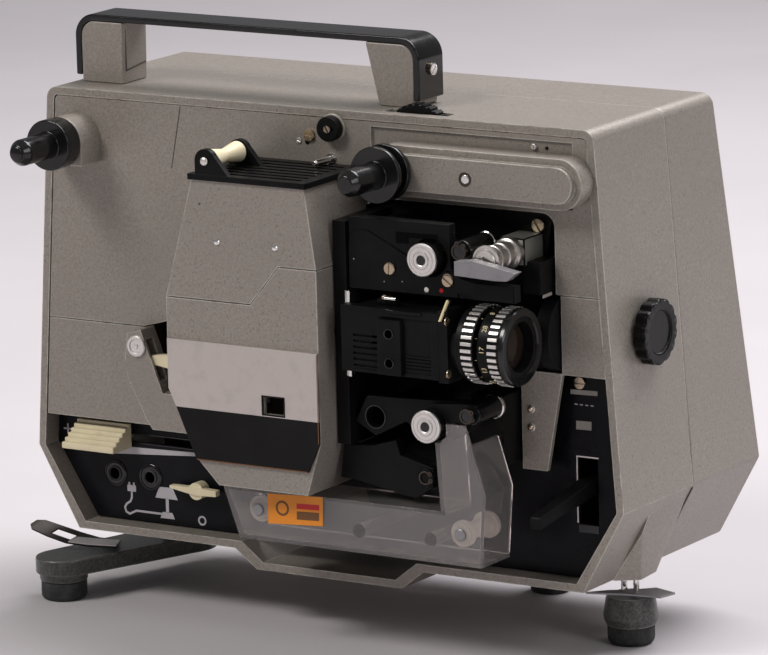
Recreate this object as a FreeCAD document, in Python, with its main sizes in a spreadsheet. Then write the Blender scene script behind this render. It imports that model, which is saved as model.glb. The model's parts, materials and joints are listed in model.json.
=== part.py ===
"""A portable film projector for narrow-gauge film, in millimetres.

The case stands on the floor at z = 0 with its front towards -Y and the lens pointing along +X.
Every piece is drawn from the middle of the case's front face (y = 0 there) and then moved back
by frame_y, so that the origin is on the floor under the middle of the whole object.
"""
import FreeCAD, Part
import Sketcher
import math
import os
import re
from FreeCAD import Placement, Rotation, Units, Vector

SIZES = {
    # shared frame: how far in front of the origin the case's front face lies
    "frame_y": 36.5,
    # case outline, seen from the front: a trapezium with its lower corners cut off
    "case_top": 233, "case_crease": 69.5, "case_bottom": 33,
    "half_top": 139.3, "half_crease": 151, "half_bottom": 130.6,
    "wall": 3.5, "corner_round": 5.5, "front_depth": 60,
    "belly_left": -47, "belly_right": 50.5, "belly_slope": 11, "belly_bottom": 24.5,
    "back_top_y": 103, "back_low_y": 120, "back_spare": 30,
    "vent_count": 9, "vent_pitch": 9, "vent_width": 4, "vent_length": 70,
    "vent_x": -95, "vent_z": 110,
    # front panels
    "panel_gap": 0.4, "panel_front": 0.6, "panel_sheet": 2.2, "seam_left": 128.5, "seam_right": 161.2,
    "open_left": -28, "open_right": 119.5, "open_top": 196, "open_round": 6,
    "tray_left": 27, "tray_right": 131, "tray_low": 196, "tray_depth": 1.4,
    "left_panel_low": 84, "window_left": -92, "window_high": 132,
    "window_low": 100, "strip_left": 101.5, "strip_low": 84.3, "strip_low_right": 113.7,
    "strip_top": 127.4, "column_left": 121.8, "column_low": 127,
    # dark control panel, sunk behind the front face
    "control_front": 9.6, "control_sheet": 2, "control_top": 92, "control_column": 106,
    "control_column_top": 125.4, "track_left": -135, "track_right": -68, "track_low": 73,
    "track_high": 76.4, "gate_left": 123.6, "gate_right": 133.2, "gate_low": 60.6, "gate_high": 89.6,
    # lamp sockets: mains pins 19 mm apart
    "socket_x": -107, "socket_z": 57.6, "socket_pitch": 19, "socket_radius": 5,
    "socket_bore": 2.45, "socket_depth": 20, "socket_proud": 0.5,
    # screws in the case and handle
    "screw_radius": 2.6, "screw_head": 1.2, "strap_screw_z": 249, "plate_screw_x": 110.5,
    "plate_screw_z": 190.2, "guard_screw_left": 57.6, "guard_screw_left_z": 173.4,
    "guard_screw_right": 86.3, "guard_screw_right_z": 171, "panel_screw_x": 125.4,
    "panel_screw_z": 122.2, "front_screw_x": -2, "front_screw_z": 221,
    # longer than any wall is thick: bores that pass right through
    "through": 40,
    # handle
    "handle_y": 26, "handle_width": 20, "handle_left": -134.5, "handle_right": 44.5,
    "handle_top": 263.5, "strap": 3, "strap_round": 10, "strap_foot": 236,
    "block_left_end": -110, "block_right_start": 23.8, "block_right_top": 17.2, "block_top": 260.4,
    "block_flare": 0.5, "block_inset": 0.3,
    # controls
    "thumb_x": 49, "thumb_y": 6.2, "thumb_width": 5.5, "thumb_radius": 16, "thumb_proud": 4.2,
    "thumb_teeth": 30, "thumb_tooth": 0.8, "thumb_axle": 2, "knob_x": 10.2, "knob_z": 225,
    "knob_radius": 5.5, "knob_length": 4.4,
    "knob_stem": 2.5, "plunger_x": 8.7, "plunger_z": 211.4, "plunger_radius": 1.4,
    "plunger_length": 13, "slider_left": -134.5, "slider_length": 28, "slider_low": 70.4,
    "slider_high": 81.6, "slider_front": -6, "slider_back": 8.8, "slider_ribs": 5,
    "selector_x": -69.8, "selector_z": 55.2, "selector_radius": 3.9, "selector_arm": 13.6,
    "selector_tail": 11, "lever_x": 128.4, "lever_width": 7.5, "lever_root_z": 77,
    "lever_tip_x": 118.5, "lever_tip_y": -19, "lever_tip_z": 66, "lever_thick": 7.5,
    "focus_x": 113.6, "focus_width": 7.2, "focus_y": 9.5, "focus_z": 143.9, "focus_radius": 17.4,
    "inch_y": 31, "inch_z": 142.5, "inch_face": 152.8, "inch_radius": 14.4, "inch_thick": 5.8,
    "flutes": 14, "flute_radius": 1.5,
    # take-up side
    "take_x": -123.3, "take_z": 211.3, "take_block": 11, "take_block_low": 201,
    "take_block_front": -14, "take_disc": 11.3, "take_disc_back": -14.4, "take_disc_front": -24,
    "spindle_radius": 5.9, "spindle_tip": -47, "spindle_nose": 3.5, "axle_radius": 3,
    "running": 0.05, "axle_back": 22,
    # supply arm, folded along the top of the front face
    "arm_z": 210.9, "arm_left": 45.6, "arm_right": 128.3, "arm_radius": 11, "arm_front": -13,
    "arm_back": -0.2, "arm_step": 3, "arm_ridge": 3.2, "arm_pin": 4, "arm_pin_end": 20,
    "hub_back": -13.6, "hub_front": -23.5, "hub_radius": 12.3, "hub_flange": 2.6, "hub_core": 9,
    # lamp house
    "house_front": -45, "house_back": 0.4, "house_wall": 2, "house_left": -48.5,
    "house_right": 28.9, "house_top": 207, "house_top_left": -33.4, "house_top_right": 23.8,
    "house_split_left": 154.4, "house_split_right": 172, "split_x_low": -5.1, "split_x_high": 9.7,
    "split_gap": 0.4, "house_kink": 114.5, "house_low": 73.6, "house_low_left": -24,
    "house_low_right": 21.6, "house_low_kink": 97, "face_top": 136.5, "face_low": 84,
    "face_low_left": -34.4, "face_low_right": 22.8, "face_thick": 1.2, "face_hole_left": 0.5,
    "face_hole_right": 11.5, "face_hole_low": 107.5, "face_hole_high": 115.5,
    "grille_thick": 2.6, "grille_lip": 1.2, "grille_slots": 7, "slot_width": 3, "slot_pitch": 5.6,
    "ear_x": -25.5, "ear_z": 215.5, "ear_radius": 5.2, "ear_width": 3, "ear_front": -46,
    "ear_back": -17, "ear_toe": 13, "ear_pin": 1.5, "roller_gap": 0.5, "roller_end": 4.7,
    "roller_waist": 2.9,
    # optics: the axis passes through the lamp, the film gate and the lens
    "optic_y": -27, "optic_z": 144, "lamp_x": -12, "lamp_radius": 5.5, "lamp_length": 26,
    "lamp_base": 9, "lamp_base_low": 112, "condenser_x": 6, "condenser_radius": 10,
    "condenser_thick": 5, "shutter_x": 22, "shutter_thick": 1, "shutter_radius": 48,
    "shutter_y": 16, "shutter_hub": 6, "shaft_radius": 3, "beam_radius": 5,
    # film mechanism
    "mech_left": 29.6, "mech_right": 118.6, "mech_low": 86, "mech_top": 195, "mech_front": 4,
    "mech_back": 8, "mech_shoulder": 162.6, "mech_waist": 111, "mech_hip": 124,
    "gate_block_right": 36, "gate_block_front": -32.5, "gate_block_low": 95,
    "gate_block_high": 192, "lug_high": 153, "lug_low": 133, "lug_back": 40,
    "lug_far": 88, "lug_thick": 4, "cover_left": 110, "cover_right": 118.4, "cover_front": -10,
    "cover_low": 163, "cover_high": 177, "box_left": 84, "box_right": 100, "box_front": -11.8,
    "box_low": 87.5, "box_high": 118, "guard_front": -31, "guard_thick": 5,
    "guard_left": 36.6, "guard_right": 118.4, "guard_low": 163.2, "guard_nose": 170.6,
    "guard_step": 93.5, "guard_shoulder": 176, "guard_crown": 87, "guard_top": 194.4,
    "shoe_left": 42.5, "shoe_top": 116.4, "shoe_corner": 36.6, "shoe_corner_z": 104.8,
    "shoe_toe": 46.5, "shoe_toe_z": 99.3, "shoe_waist": 62, "shoe_waist_z": 107, "cup_left": 70,
    "cup_right": 86, "cup_low": 101.5, "shoe_flank": 95.5, "shoe_right": 97.5,
    "shoe_right_z": 112.5, "shoe_back": 92, "shoe_back_z": 118.4, "shoe_hole_x": 46.7,
    "shoe_hole_z": 107.6, "shoe_hole": 4.6, "hook_left": 29.6, "hook_top": 93.6,
    "hook_heel": 27.6, "hook_low": 79, "hook_sole": 35, "hook_tip_low": 64.8,
    "hook_tip_z": 73.4, "hook_tip": 74, "hook_end": 87.6, "hook_neck": 58, "hook_bend": 91.5,
    "hook_crown": 98, "hook_crest": 44,
    "sprocket_x": 77.5, "sprocket_high": 179.8, "sprocket_low": 108.1, "sprocket_front": -38,
    "sprocket_radius": 7, "sprocket_flange": 4, "sprocket_core": 5.5, "sprocket_back": -16,
    "feed_x": 106, "feed_z": 181, "feed_radius": 6.8, "feed_front": -34, "feed_back": -12,
    "feed_block": 12, "pinch_front": -40, "pinch_thick": 5, "pinch_left": 94.5,
    "pinch_right": 124.5, "pinch_high": 181, "pinch_mid": 178.3, "pinch_low": 174.6,
    "pinch_inset": 2.4, "pinch_pin": 1.5,
    "aperture_x": 37.4, "aperture_thick": 1.6, "aperture_half": 18.5, "claw_length": 34,
    "claw_height": 6,
    # lens and its carrier
    "carrier_left": 45, "carrier_right": 87.5, "carrier_front": -41, "carrier_back": -13,
    "carrier_low": 129.5, "carrier_high": 158, "cheek_left": 38.2, "cheek_back": -36,
    "pressure_left": 40.6, "pressure_half": 13,
    "flange_right": 91.5, "flange_front": -42, "flange_back": -12, "flange_low": 128.7,
    "flange_high": 159.6, "barrel_radius": 13.5, "barrel_back": 60, "barrel_front": 118.5,
    "barrel_nose": 16.2, "nose_start": 106.5, "ring_radius": 17, "zoom_start": 98.5,
    "zoom_width": 7.4, "ring_bore": 13.55, "focus_ring_start": 111.5, "focus_ring_width": 5,
    "glass_radius": 10.7, "glass_front": 115.5, "glass_thick": 4, "glass_rear": 63,
    # clear film channel below
    "channel_front": -35, "channel_back": -12, "channel_wall": 1.6, "channel_left": -28.7,
    "channel_left_low": -20.8, "channel_low": 48.4, "channel_mid": 71, "channel_elbow": 81.9,
    "channel_neck": 79.8, "channel_neck_top": 101, "channel_right_top": 97.4,
    "channel_right": 104.1, "channel_right_mid": 80.2, "channel_right_low": 101.7,
    "channel_roller_left": -10.7, "channel_roller_right": 91.4, "channel_roller_z": 62,
    "channel_roller_radius": 5.8, "channel_stud": 2, "channel_post": 3, "channel_post_left": 40,
    "channel_post_z": 58, "tongue_left": 82.6, "tongue_step": 85.4, "tongue_step_z": 104.2,
    "tongue_right": 94.7, "tongue_top": 109.4,
    # drive
    "pulley_x": 100, "pulley_width": 6, "pulley_radius": 20, "motor_x": 38, "motor_length": 52,
    "motor_y": 76, "motor_z": 82, "motor_radius": 28, "motor_pulley": 9, "fan_x": 8,
    "fan_width": 20, "fan_radius": 27, "belt_thick": 1.6, "belt_gap": 0.1,
    "gear_x": 38, "gear_width": 4, "gear_gap": 0.1, "core_left": -112, "core_length": 58,
    "core_y": 42, "core_width": 52, "core_low": 45, "core_height": 48, "coil_spread": 5,
    "inlet_x": 90, "inlet_z": 60, "inlet_width": 30, "inlet_height": 22, "inlet_depth": 16,
    "inlet_wall": 3,
    # grey bracket beside the lamp house, and the ivory loop lever behind it
    "side_front": -10, "side_left": -95.5, "side_top": 129.5, "side_low": 85,
    "side_right": -50.5, "side_button_x": -89, "side_button_z": 122, "loop_x": -70,
    "loop_z": 116, "loop_tip": -84.5, "loop_front": -8, "loop_thick": 4,
    # feet
    "pivot_x": -117, "pivot_y": 63, "swing_x": -139.8, "swing_y": -0.5, "bracket_top": 19.5,
    "bracket_low": 12, "pivot_radius": 15, "swing_radius": 12.5, "boss_radius": 10,
    "pad_radius": 10.3, "swing_collar": 8.5, "foot_x": 127, "foot_y": 46, "post_spread": 3,
    "post_radius": 1.4, "collar_top": 21.5, "collar_low": 8.5, "collar_radius": 10.6,
    "collar_swell": 12, "rear_foot_x": 50, "rear_foot_y": 108, "rear_foot_radius": 9,
}

doc = FreeCAD.newDocument("film_projector")
sheet = doc.addObject("Spreadsheet::Sheet", "Sizes")
for row, (alias, amount) in enumerate(SIZES.items(), start=1):
    sheet.set("A%d" % row, alias)
    sheet.set("B%d" % row, str(amount))
    sheet.setAlias("B%d" % row, alias)
doc.recompute()

WORD = re.compile(r"[A-Za-z_][A-Za-z_0-9]*")
NODES = []


# ---- helpers: formulas, primitives, outlines ---------------------------------------------------

def formula(text):
    """The text as an expression on the sheet: every alias gets the sheet's name in front."""
    return WORD.sub(lambda m: "Sizes." + m.group() if m.group() in SIZES else m.group(), str(text))


def number(text):
    """The value of a formula, worked out from the sheet."""
    plain = WORD.sub(lambda m: "(%r)" % float(sheet.get(m.group())), str(text))
    return Units.parseQuantity(plain).Value


def bind(thing, **formulas):
    """Bind properties of an object to formulas on the sheet."""
    for name, text in formulas.items():
        thing.setExpression(name, formula(text))


def place(thing, x, y, z, rotation=None):
    """Bind an object's position to three formulas, and turn it."""
    thing.Placement = Placement(Vector(0, 0, 0), rotation or Rotation())
    for axis, text in zip("xyz", (x, y, z)):
        thing.setExpression("Placement.Base." + axis, formula(text))
    return thing


def box(name, x0, x1, y0, y1, z0, z1):
    """A box between two corners."""
    made = doc.addObject("Part::Box", name)
    bind(made, Length="(%s) - (%s)" % (x1, x0), Width="(%s) - (%s)" % (y1, y0),
         Height="(%s) - (%s)" % (z1, z0))
    return place(made, x0, y0, z0)


ALONG = {"X": Rotation(Vector(0, 1, 0), 90), "Y": Rotation(Vector(1, 0, 0), -90), "Z": Rotation()}


def rod(name, axis, x, y, z, radius, length):
    """A cylinder that starts at a point and runs along +X, +Y or +Z."""
    made = doc.addObject("Part::Cylinder", name)
    bind(made, Radius=radius, Height=length)
    return place(made, x, y, z, ALONG[axis])


def taper(name, axis, x, y, z, radius, end_radius, length):
    """A cone that starts at a point and runs along +X, +Y or +Z."""
    made = doc.addObject("Part::Cone", name)
    bind(made, Radius1=radius, Radius2=end_radius, Height=length)
    return place(made, x, y, z, ALONG[axis])


def fuse(name, *pieces):
    made = doc.addObject("Part::MultiFuse", name)
    made.Shapes = list(pieces)
    made.Refine = True
    return made


def cut(name, base, *tools):
    made = doc.addObject("Part::Cut", name)
    made.Base = base
    made.Tool = tools[0] if len(tools) == 1 else group(name + "_tools", *tools)
    return made


def group(name, *pieces):
    """Separate solids kept together, such as a set of screws."""
    made = doc.addObject("Part::Compound", name)
    made.Links = list(pieces)
    return made


def plane_of(body, role):
    return next(f for f in body.Origin.OriginFeatures if f.Role == role)


def outline(body, name, plane, points, offset="0"):
    """A closed sketch of straight lines whose corners are bound to the sheet.

    The plane is XZ_Plane (looking along +Y), YZ_Plane or XY_Plane, moved by offset along +Y, +X
    or +Z.
    """
    sketch = body.newObject("Sketcher::SketchObject", name)
    sketch.AttachmentSupport = (plane_of(body, plane), [""])
    sketch.MapMode = "FlatFace"
    sign = "-" if plane == "XZ_Plane" else ""
    sketch.setExpression("AttachmentOffset.Base.z", formula("%s(%s)" % (sign, offset)))
    corners = [Vector(number(a), number(b), 0) for a, b in points]
    for i, corner in enumerate(corners):
        sketch.addGeometry(Part.LineSegment(corner, corners[(i + 1) % len(corners)]), False)
    for i, (a, b) in enumerate(points):
        after = (i + 1) % len(points)
        sketch.addConstraint(Sketcher.Constraint("Coincident", i, 2, after, 1))
        across = sketch.addConstraint(Sketcher.Constraint("DistanceX", i, 1, corners[i].x))
        up = sketch.addConstraint(Sketcher.Constraint("DistanceY", i, 1, corners[i].y))
        sketch.setExpression("Constraints[%d]" % across, formula(a))
        sketch.setExpression("Constraints[%d]" % up, formula(b))
    return sketch


def prism(name, plane, points, start, length):
    """A body padded from an outline: from start, for length, along +Y, +X or +Z."""
    body = doc.addObject("PartDesign::Body", name)
    sketch = outline(body, name + "_outline", plane, points, start)
    pad = body.newObject("PartDesign::Pad", name + "_pad")
    pad.Profile = sketch
    pad.Reversed = plane == "XZ_Plane"
    pad.setExpression("Length", formula(length))
    doc.recompute()
    return body


def pocket(body, name, plane, points, start, length):
    """Cut an outline out of a body: from start, for length, along +Y, +X or +Z."""
    before = body.Shape.Volume
    sketch = outline(body, name + "_outline", plane, points, start)
    made = body.newObject("PartDesign::Pocket", name)
    made.Profile = sketch
    made.Reversed = plane != "XZ_Plane"
    made.setExpression("Length", formula(length))
    doc.recompute()
    if body.Shape.Volume >= before:
        raise RuntimeError("%s removes nothing (%s)" % (name, made.State))


def round_edges(body, name, radius, axis, *where):
    """Round a body's edges that run along one axis past the given places (two coordinates)."""
    others = [i for i in range(3) if i != "XYZ".index(axis)]
    spots = [tuple(number(t) for t in pair) for pair in where]
    names = []
    for i, edge in enumerate(body.Shape.Edges, start=1):
        ends = [v.Point for v in edge.Vertexes]
        if len(ends) != 2:
            continue
        for spot in spots:
            if all(abs(p[o] - s) < 0.05 for p in ends for o, s in zip(others, spot)):
                names.append("Edge%d" % i)
    if not names:
        raise RuntimeError(name + " finds no edge")
    last = body.Tip
    fillet = body.newObject("PartDesign::Fillet", name)
    fillet.Base = (last, names)
    fillet.setExpression("Radius", formula(radius))
    doc.recompute()


def ring_of(name, count, make):
    """Copies of a tool, one for each step round a circle: make(index, angle in radians)."""
    return [make("%s_%d" % (name, i), 2 * math.pi * i / count) for i in range(count)]


def node(thing, label):
    """Name a finished sub-part, and move it into the shared frame."""
    thing.Label = label
    thing.setExpression("Placement.Base.y", formula("-frame_y"))
    NODES.append(thing)
    return thing


# ---- the case ----------------------------------------------------------------------------------

def case_outline(inset, belly=False):
    """The case seen from the front, made smaller all round by inset."""
    points = [("-(half_top - %s)" % inset, "case_top - %s" % inset),
              ("-(half_crease - %s)" % inset, "case_crease"),
              ("-(half_bottom - %s)" % inset, "case_bottom + %s" % inset)]
    if belly:
        points += [("belly_left + %s" % inset, "case_bottom + %s" % inset),
                   ("belly_left + belly_slope + %s" % inset, "belly_bottom + %s" % inset),
                   ("belly_right - belly_slope - %s" % inset, "belly_bottom + %s" % inset),
                   ("belly_right - %s" % inset, "case_bottom + %s" % inset)]
    points += [("half_bottom - %s" % inset, "case_bottom + %s" % inset),
               ("half_crease - %s" % inset, "case_crease"),
               ("half_top - %s" % inset, "case_top - %s" % inset)]
    return points


def round_case_top(body, inset):
    spots = [("%s(half_top - %s)" % (side, inset), "case_top - %s" % inset) for side in ("", "-")]
    round_edges(body, body.Name + "_round", "corner_round - %s" % inset, "Y", *spots)


def front_casting():
    """The open front half of the case: a wall all round, with a belly underneath."""
    body = prism("front_shell", "XZ_Plane", case_outline("0", belly=True), "0", "front_depth")
    round_case_top(body, "0")
    inner = prism("front_room", "XZ_Plane", case_outline("wall", belly=True), "-wall",
                  "front_depth + 2 * wall")
    round_case_top(inner, "wall")
    thumb_slot = box("thumb_slot", "thumb_x - thumb_radius", "thumb_x + thumb_radius",
                     "thumb_y - 0.8", "thumb_y + thumb_width + 0.8", "case_top - 2 * wall",
                     "case_top + wall")
    knob_hole = rod("inch_hole", "X", "half_top", "inch_y", "inch_z", "shaft_radius + 1", "through / 2")
    posts = [rod("post_hole_%d" % i, "Z", "foot_x + (%s) * post_spread" % side, "foot_y",
                 "case_bottom - wall", "post_radius + running", "8 * wall")
             for i, side in enumerate(("-1", "1"))]
    node(cut("casting", body, inner, thumb_slot, knob_hole, *posts), "front_casting")


def rear_form(name, inset):
    """The rear half of the case as a solid, with its back face leaning forward at the top."""
    body = prism(name, "XZ_Plane", case_outline(inset), "front_depth",
                 "back_low_y - front_depth + back_spare")
    round_case_top(body, inset)
    behind = [("back_low_y - %s" % inset, "0"), ("back_low_y - %s" % inset, "case_crease"),
              ("back_top_y - %s" % inset, "case_top"),
              ("back_top_y - %s - (back_low_y - back_top_y) / 4" % inset, "case_top + 40"),
              ("back_low_y + 2 * back_spare", "case_top + 40"),
              ("back_low_y + 2 * back_spare", "0")]
    pocket(body, name + "_lean", "YZ_Plane", behind, "-half_crease - wall",
           "2 * half_crease + 2 * wall")
    return body


def rear_cover():
    """The rear half of the case, with a row of cooling slots and the mains inlet's cut-out."""
    outer, inner = rear_form("rear_shell", "0"), rear_form("rear_room", "wall")
    slots = [box("rear_slot_%d" % i, "vent_x + %d * vent_pitch" % i,
                 "vent_x + %d * vent_pitch + vent_width" % i, "back_top_y - 2 * wall",
                 "back_low_y + wall", "vent_z", "vent_z + vent_length")
             for i in range(int(number("vent_count")))]
    inlet = box("inlet_cut", "inlet_x - inlet_width / 2 - running",
                "inlet_x + inlet_width / 2 + running", "back_low_y - 3 * wall",
                "back_low_y + wall", "inlet_z - inlet_height / 2 - running",
                "inlet_z + inlet_height / 2 + running")
    node(cut("rear_half", outer, inner, inlet, *slots), "rear_cover")


def side_at(height, inset):
    """How far the case's side is from the middle, at a height above the crease."""
    lean = "(half_crease - half_top) / (case_top - case_crease)"
    return "half_crease - (%s - case_crease) * %s - %s" % (height, lean, inset)


def upper_front_panel():
    """The hammered sheet across the top of the front, with a sunk tray for the supply arm."""
    edge = "(wall + panel_gap)"
    points = [("-(%s)" % side_at("seam_left", edge), "seam_left + panel_gap / 2"),
              ("window_left", "seam_left + panel_gap / 2"), ("window_left + 12", "window_high"),
              ("open_left", "window_high"),
              ("open_left", "open_top"), ("open_right", "open_top"),
              ("open_right", "seam_right + panel_gap / 2"),
              (side_at("seam_right", edge), "seam_right + panel_gap / 2"),
              ("half_top - %s" % edge, "case_top - %s" % edge),
              ("-(half_top - %s)" % edge, "case_top - %s" % edge)]
    sheet_metal = prism("upper_sheet", "XZ_Plane", points, "panel_front", "panel_sheet")
    spots = [("%s(half_top - %s)" % (side, edge), "case_top - %s" % edge) for side in ("", "-")]
    round_edges(sheet_metal, "upper_sheet_round", "corner_round - wall", "Y", *spots)
    round_edges(sheet_metal, "opening_round", "open_round", "Y", ("open_right", "open_top"))
    back = "panel_front + panel_sheet + tray_depth"
    top = "case_top - %s" % edge
    rim = box("tray_rim", "tray_left", "tray_right", "panel_front", back, "tray_low", top)
    hollow = box("tray_hollow", "tray_left + panel_sheet", "tray_right - panel_sheet", "-wall",
                 "panel_front + tray_depth", "tray_low + panel_sheet", top + " - panel_sheet")
    holes = [rod("arm_bore", "Y", "arm_right", "-wall", "arm_z", "arm_pin + running", "through"),
             rod("take_bore", "Y", "take_x", "-wall", "take_z", "axle_radius + 1", "through"),
             rod("knob_bore", "Y", "knob_x", "-wall", "knob_z", "knob_stem + running", "through"),
             rod("plunger_bore", "Y", "plunger_x", "-wall", "plunger_z",
                 "plunger_radius + running", "through")]
    node(cut("upper_panel", fuse("upper_pressing", sheet_metal, rim), hollow, *holes),
         "upper_front_panel")


def lower_front_panels():
    """The two lower hammered sheets: a wide one at the left, a stepped strip at the right."""
    edge = "(wall + panel_gap)"
    left = [("-(%s)" % side_at("left_panel_low", edge), "left_panel_low"),
            ("open_left", "left_panel_low"), ("open_left", "window_low"),
            ("window_left + 12", "window_low"), ("window_left + 1", "seam_left - panel_gap / 2"),
            ("-(%s)" % side_at("seam_left", edge), "seam_left - panel_gap / 2")]
    right = [("strip_left", "strip_low"), ("strip_low_right", "strip_low"),
             ("column_left", "column_low"), (side_at("column_low", edge), "column_low"),
             (side_at("seam_right", edge), "seam_right - panel_gap / 2"),
             ("column_left", "seam_right - panel_gap / 2"), ("column_left", "strip_top"),
             ("strip_left", "strip_top")]
    node(group("lower_panels",
               prism("lower_left", "XZ_Plane", left, "panel_front", "panel_sheet"),
               prism("lower_right", "XZ_Plane", right, "panel_front", "panel_sheet")),
         "lower_front_panels")


def control_panel():
    """The dark plate sunk behind the front: a strip along the bottom and a column at the right."""
    edge = "(wall + panel_gap)"
    points = [("-(half_crease - %s)" % edge, "case_crease"),
              ("-(half_bottom - %s)" % edge, "case_bottom + %s" % edge),
              ("half_bottom - %s" % edge, "case_bottom + %s" % edge),
              ("half_crease - %s" % edge, "case_crease"),
              (side_at("control_column_top", edge), "control_column_top"),
              ("control_column", "control_column_top"), ("control_column", "control_top"),
              ("-(%s)" % side_at("control_top", edge), "control_top")]
    plate = prism("control_plate", "XZ_Plane", points, "control_front", "control_sheet")
    behind = "control_front + 2 * control_sheet"
    sockets = [rod("socket_hole_%d" % i, "Y", "socket_x + (%s) * socket_pitch / 2" % side,
                   "control_front - control_sheet", "socket_z", "socket_radius + running",
                   "3 * control_sheet") for i, side in enumerate(("-1", "1"))]
    track = box("track_slot", "track_left", "track_right", "control_front - control_sheet",
                behind, "track_low", "track_high")
    gate = box("lever_slot", "gate_left", "gate_right", "control_front - control_sheet", behind,
               "gate_low", "gate_high")
    hub = rod("selector_hole", "Y", "selector_x", "control_front - control_sheet", "selector_z",
              "knob_stem + running", "3 * control_sheet")
    node(cut("control", plate, track, gate, hub, *sockets), "control_panel")


def lamp_sockets():
    """Two insulating bushes for a room lamp's mains plug."""
    bushes = []
    for i, side in enumerate(("-1", "1")):
        x = "socket_x + (%s) * socket_pitch / 2" % side
        body = rod("bush_%d" % i, "Y", x, "control_front", "socket_z", "socket_radius",
                   "socket_depth + 2")
        rim = rod("bush_rim_%d" % i, "Y", x, "control_front - socket_proud - running",
                  "socket_z", "socket_radius", "socket_proud + 2 * running")
        bore = rod("bush_bore_%d" % i, "Y", x, "control_front - 2 * socket_proud", "socket_z",
                   "socket_bore", "socket_depth + 2 * socket_proud")
        bushes.append(cut("bush_cut_%d" % i, fuse("bush_whole_%d" % i, body, rim), bore))
    node(group("bushes", *bushes), "lamp_sockets")


def screw(name, axis, x, y, z):
    """A slotted cheese-head, standing on the surface at x, y, z and facing back along its axis."""
    head = rod(name + "_head", axis, x, y, z, "screw_radius", "screw_head")
    half, deep = "screw_radius + 1", "screw_head / 2"
    if axis == "Y":
        slot = box(name + "_slot", "%s - (%s)" % (x, half), "%s + %s" % (x, half),
                   "%s - 1" % y, "%s + %s" % (y, deep), "%s - 0.4" % z, "%s + 0.4" % z)
    else:
        slot = box(name + "_slot", "%s + %s" % (x, deep), "%s + screw_head + 1" % x,
                   "%s - 0.4" % y, "%s + 0.4" % y, "%s - (%s)" % (z, half),
                   "%s + %s" % (z, half))
    return cut(name, head, slot)


def case_screws():
    """Slotted screws: the handle's, the mechanism plate's, the guards' and the dark panel's."""
    on_plate = "mech_front - screw_head"
    on_guard = "guard_front - screw_head"
    spots = [("handle_screw", "X", "handle_right", "handle_y", "strap_screw_z"),
             ("plate_screw", "Y", "plate_screw_x", on_plate, "plate_screw_z"),
             ("guard_screw_low", "Y", "guard_screw_left", on_guard, "guard_screw_left_z"),
             ("guard_screw_high", "Y", "guard_screw_right", on_guard, "guard_screw_right_z"),
             ("panel_screw", "Y", "panel_screw_x", "control_front - screw_head", "panel_screw_z"),
             ("front_screw", "Y", "front_screw_x", "panel_front - screw_head", "front_screw_z")]
    node(group("screws", *[screw(*spot) for spot in spots]), "case_screws")


# ---- the handle --------------------------------------------------------------------------------

def handle_strap():
    """A flat black strap bent down at both ends."""
    outer = [("handle_left", "strap_foot"), ("handle_right", "strap_foot"),
             ("handle_right", "handle_top"), ("handle_left", "handle_top")]
    body = prism("strap_band", "XZ_Plane", outer, "handle_y - handle_width / 2", "handle_width")
    round_edges(body, "strap_outer_round", "strap_round", "Y", ("handle_left", "handle_top"),
                ("handle_right", "handle_top"))
    inner = prism("strap_room", "XZ_Plane",
                  [("handle_left + strap", "strap_foot - strap"),
                   ("handle_right - strap", "strap_foot - strap"),
                   ("handle_right - strap", "handle_top - strap"),
                   ("handle_left + strap", "handle_top - strap")],
                  "handle_y - handle_width", "2 * handle_width")
    round_edges(inner, "strap_inner_round", "strap_round - strap", "Y",
                ("handle_left + strap", "handle_top - strap"),
                ("handle_right - strap", "handle_top - strap"))
    node(cut("strap_cut", body, inner), "handle_strap")


def handle_blocks():
    """Two grey blocks that fill the strap's ends; the right one is wider at its top."""
    blocks = []
    left, right = "handle_left + strap", "handle_right - strap"
    for name, x0, x1, top0, top1, corner in (
            ("block_left", left, "block_left_end", left, "block_left_end + block_flare", left),
            ("block_right", "block_right_start", right, "block_right_top", right, right)):
        front = [(x0, "case_top"), (x1, "case_top"), (top1, "block_top"), (top0, "block_top")]
        block = prism(name, "XZ_Plane", front, "handle_y - handle_width / 2 + block_inset",
                      "handle_width - 2 * block_inset")
        round_edges(block, name + "_round", "strap_round - strap", "Y", (corner, "block_top"))
        blocks.append(block)
    node(group("blocks", *blocks), "handle_blocks")


# ---- knobs, levers and buttons -----------------------------------------------------------------

def fluted(name, axis, x, y, z, radius, length, count, depth):
    """A wheel with grooves cut round its rim, along X or Y."""
    wheel = rod(name + "_disc", axis, x, y, z, radius, length)

    def groove(label, angle):
        a, b = math.cos(angle), math.sin(angle)
        at = "(%s) + (%.6f) * (%s)"
        if axis == "X":
            return rod(label, axis, x, at % (y, a, radius), at % (z, b, radius), depth, length)
        return rod(label, axis, at % (x, a, radius), y, at % (z, b, radius), depth, length)

    return cut(name, wheel, *ring_of(name + "_groove", count, groove))


def top_thumb_wheel():
    wheel = fluted("thumb", "Y", "thumb_x", "thumb_y", "case_top + thumb_proud - thumb_radius",
                   "thumb_radius", "thumb_width", int(number("thumb_teeth")), "thumb_tooth")
    axle = rod("thumb_axle", "Y", "thumb_x", "thumb_y - 0.15",
               "case_top + thumb_proud - thumb_radius", "thumb_axle", "thumb_width + 0.75")
    node(fuse("thumb_whole", wheel, axle), "top_thumb_wheel")


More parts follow.
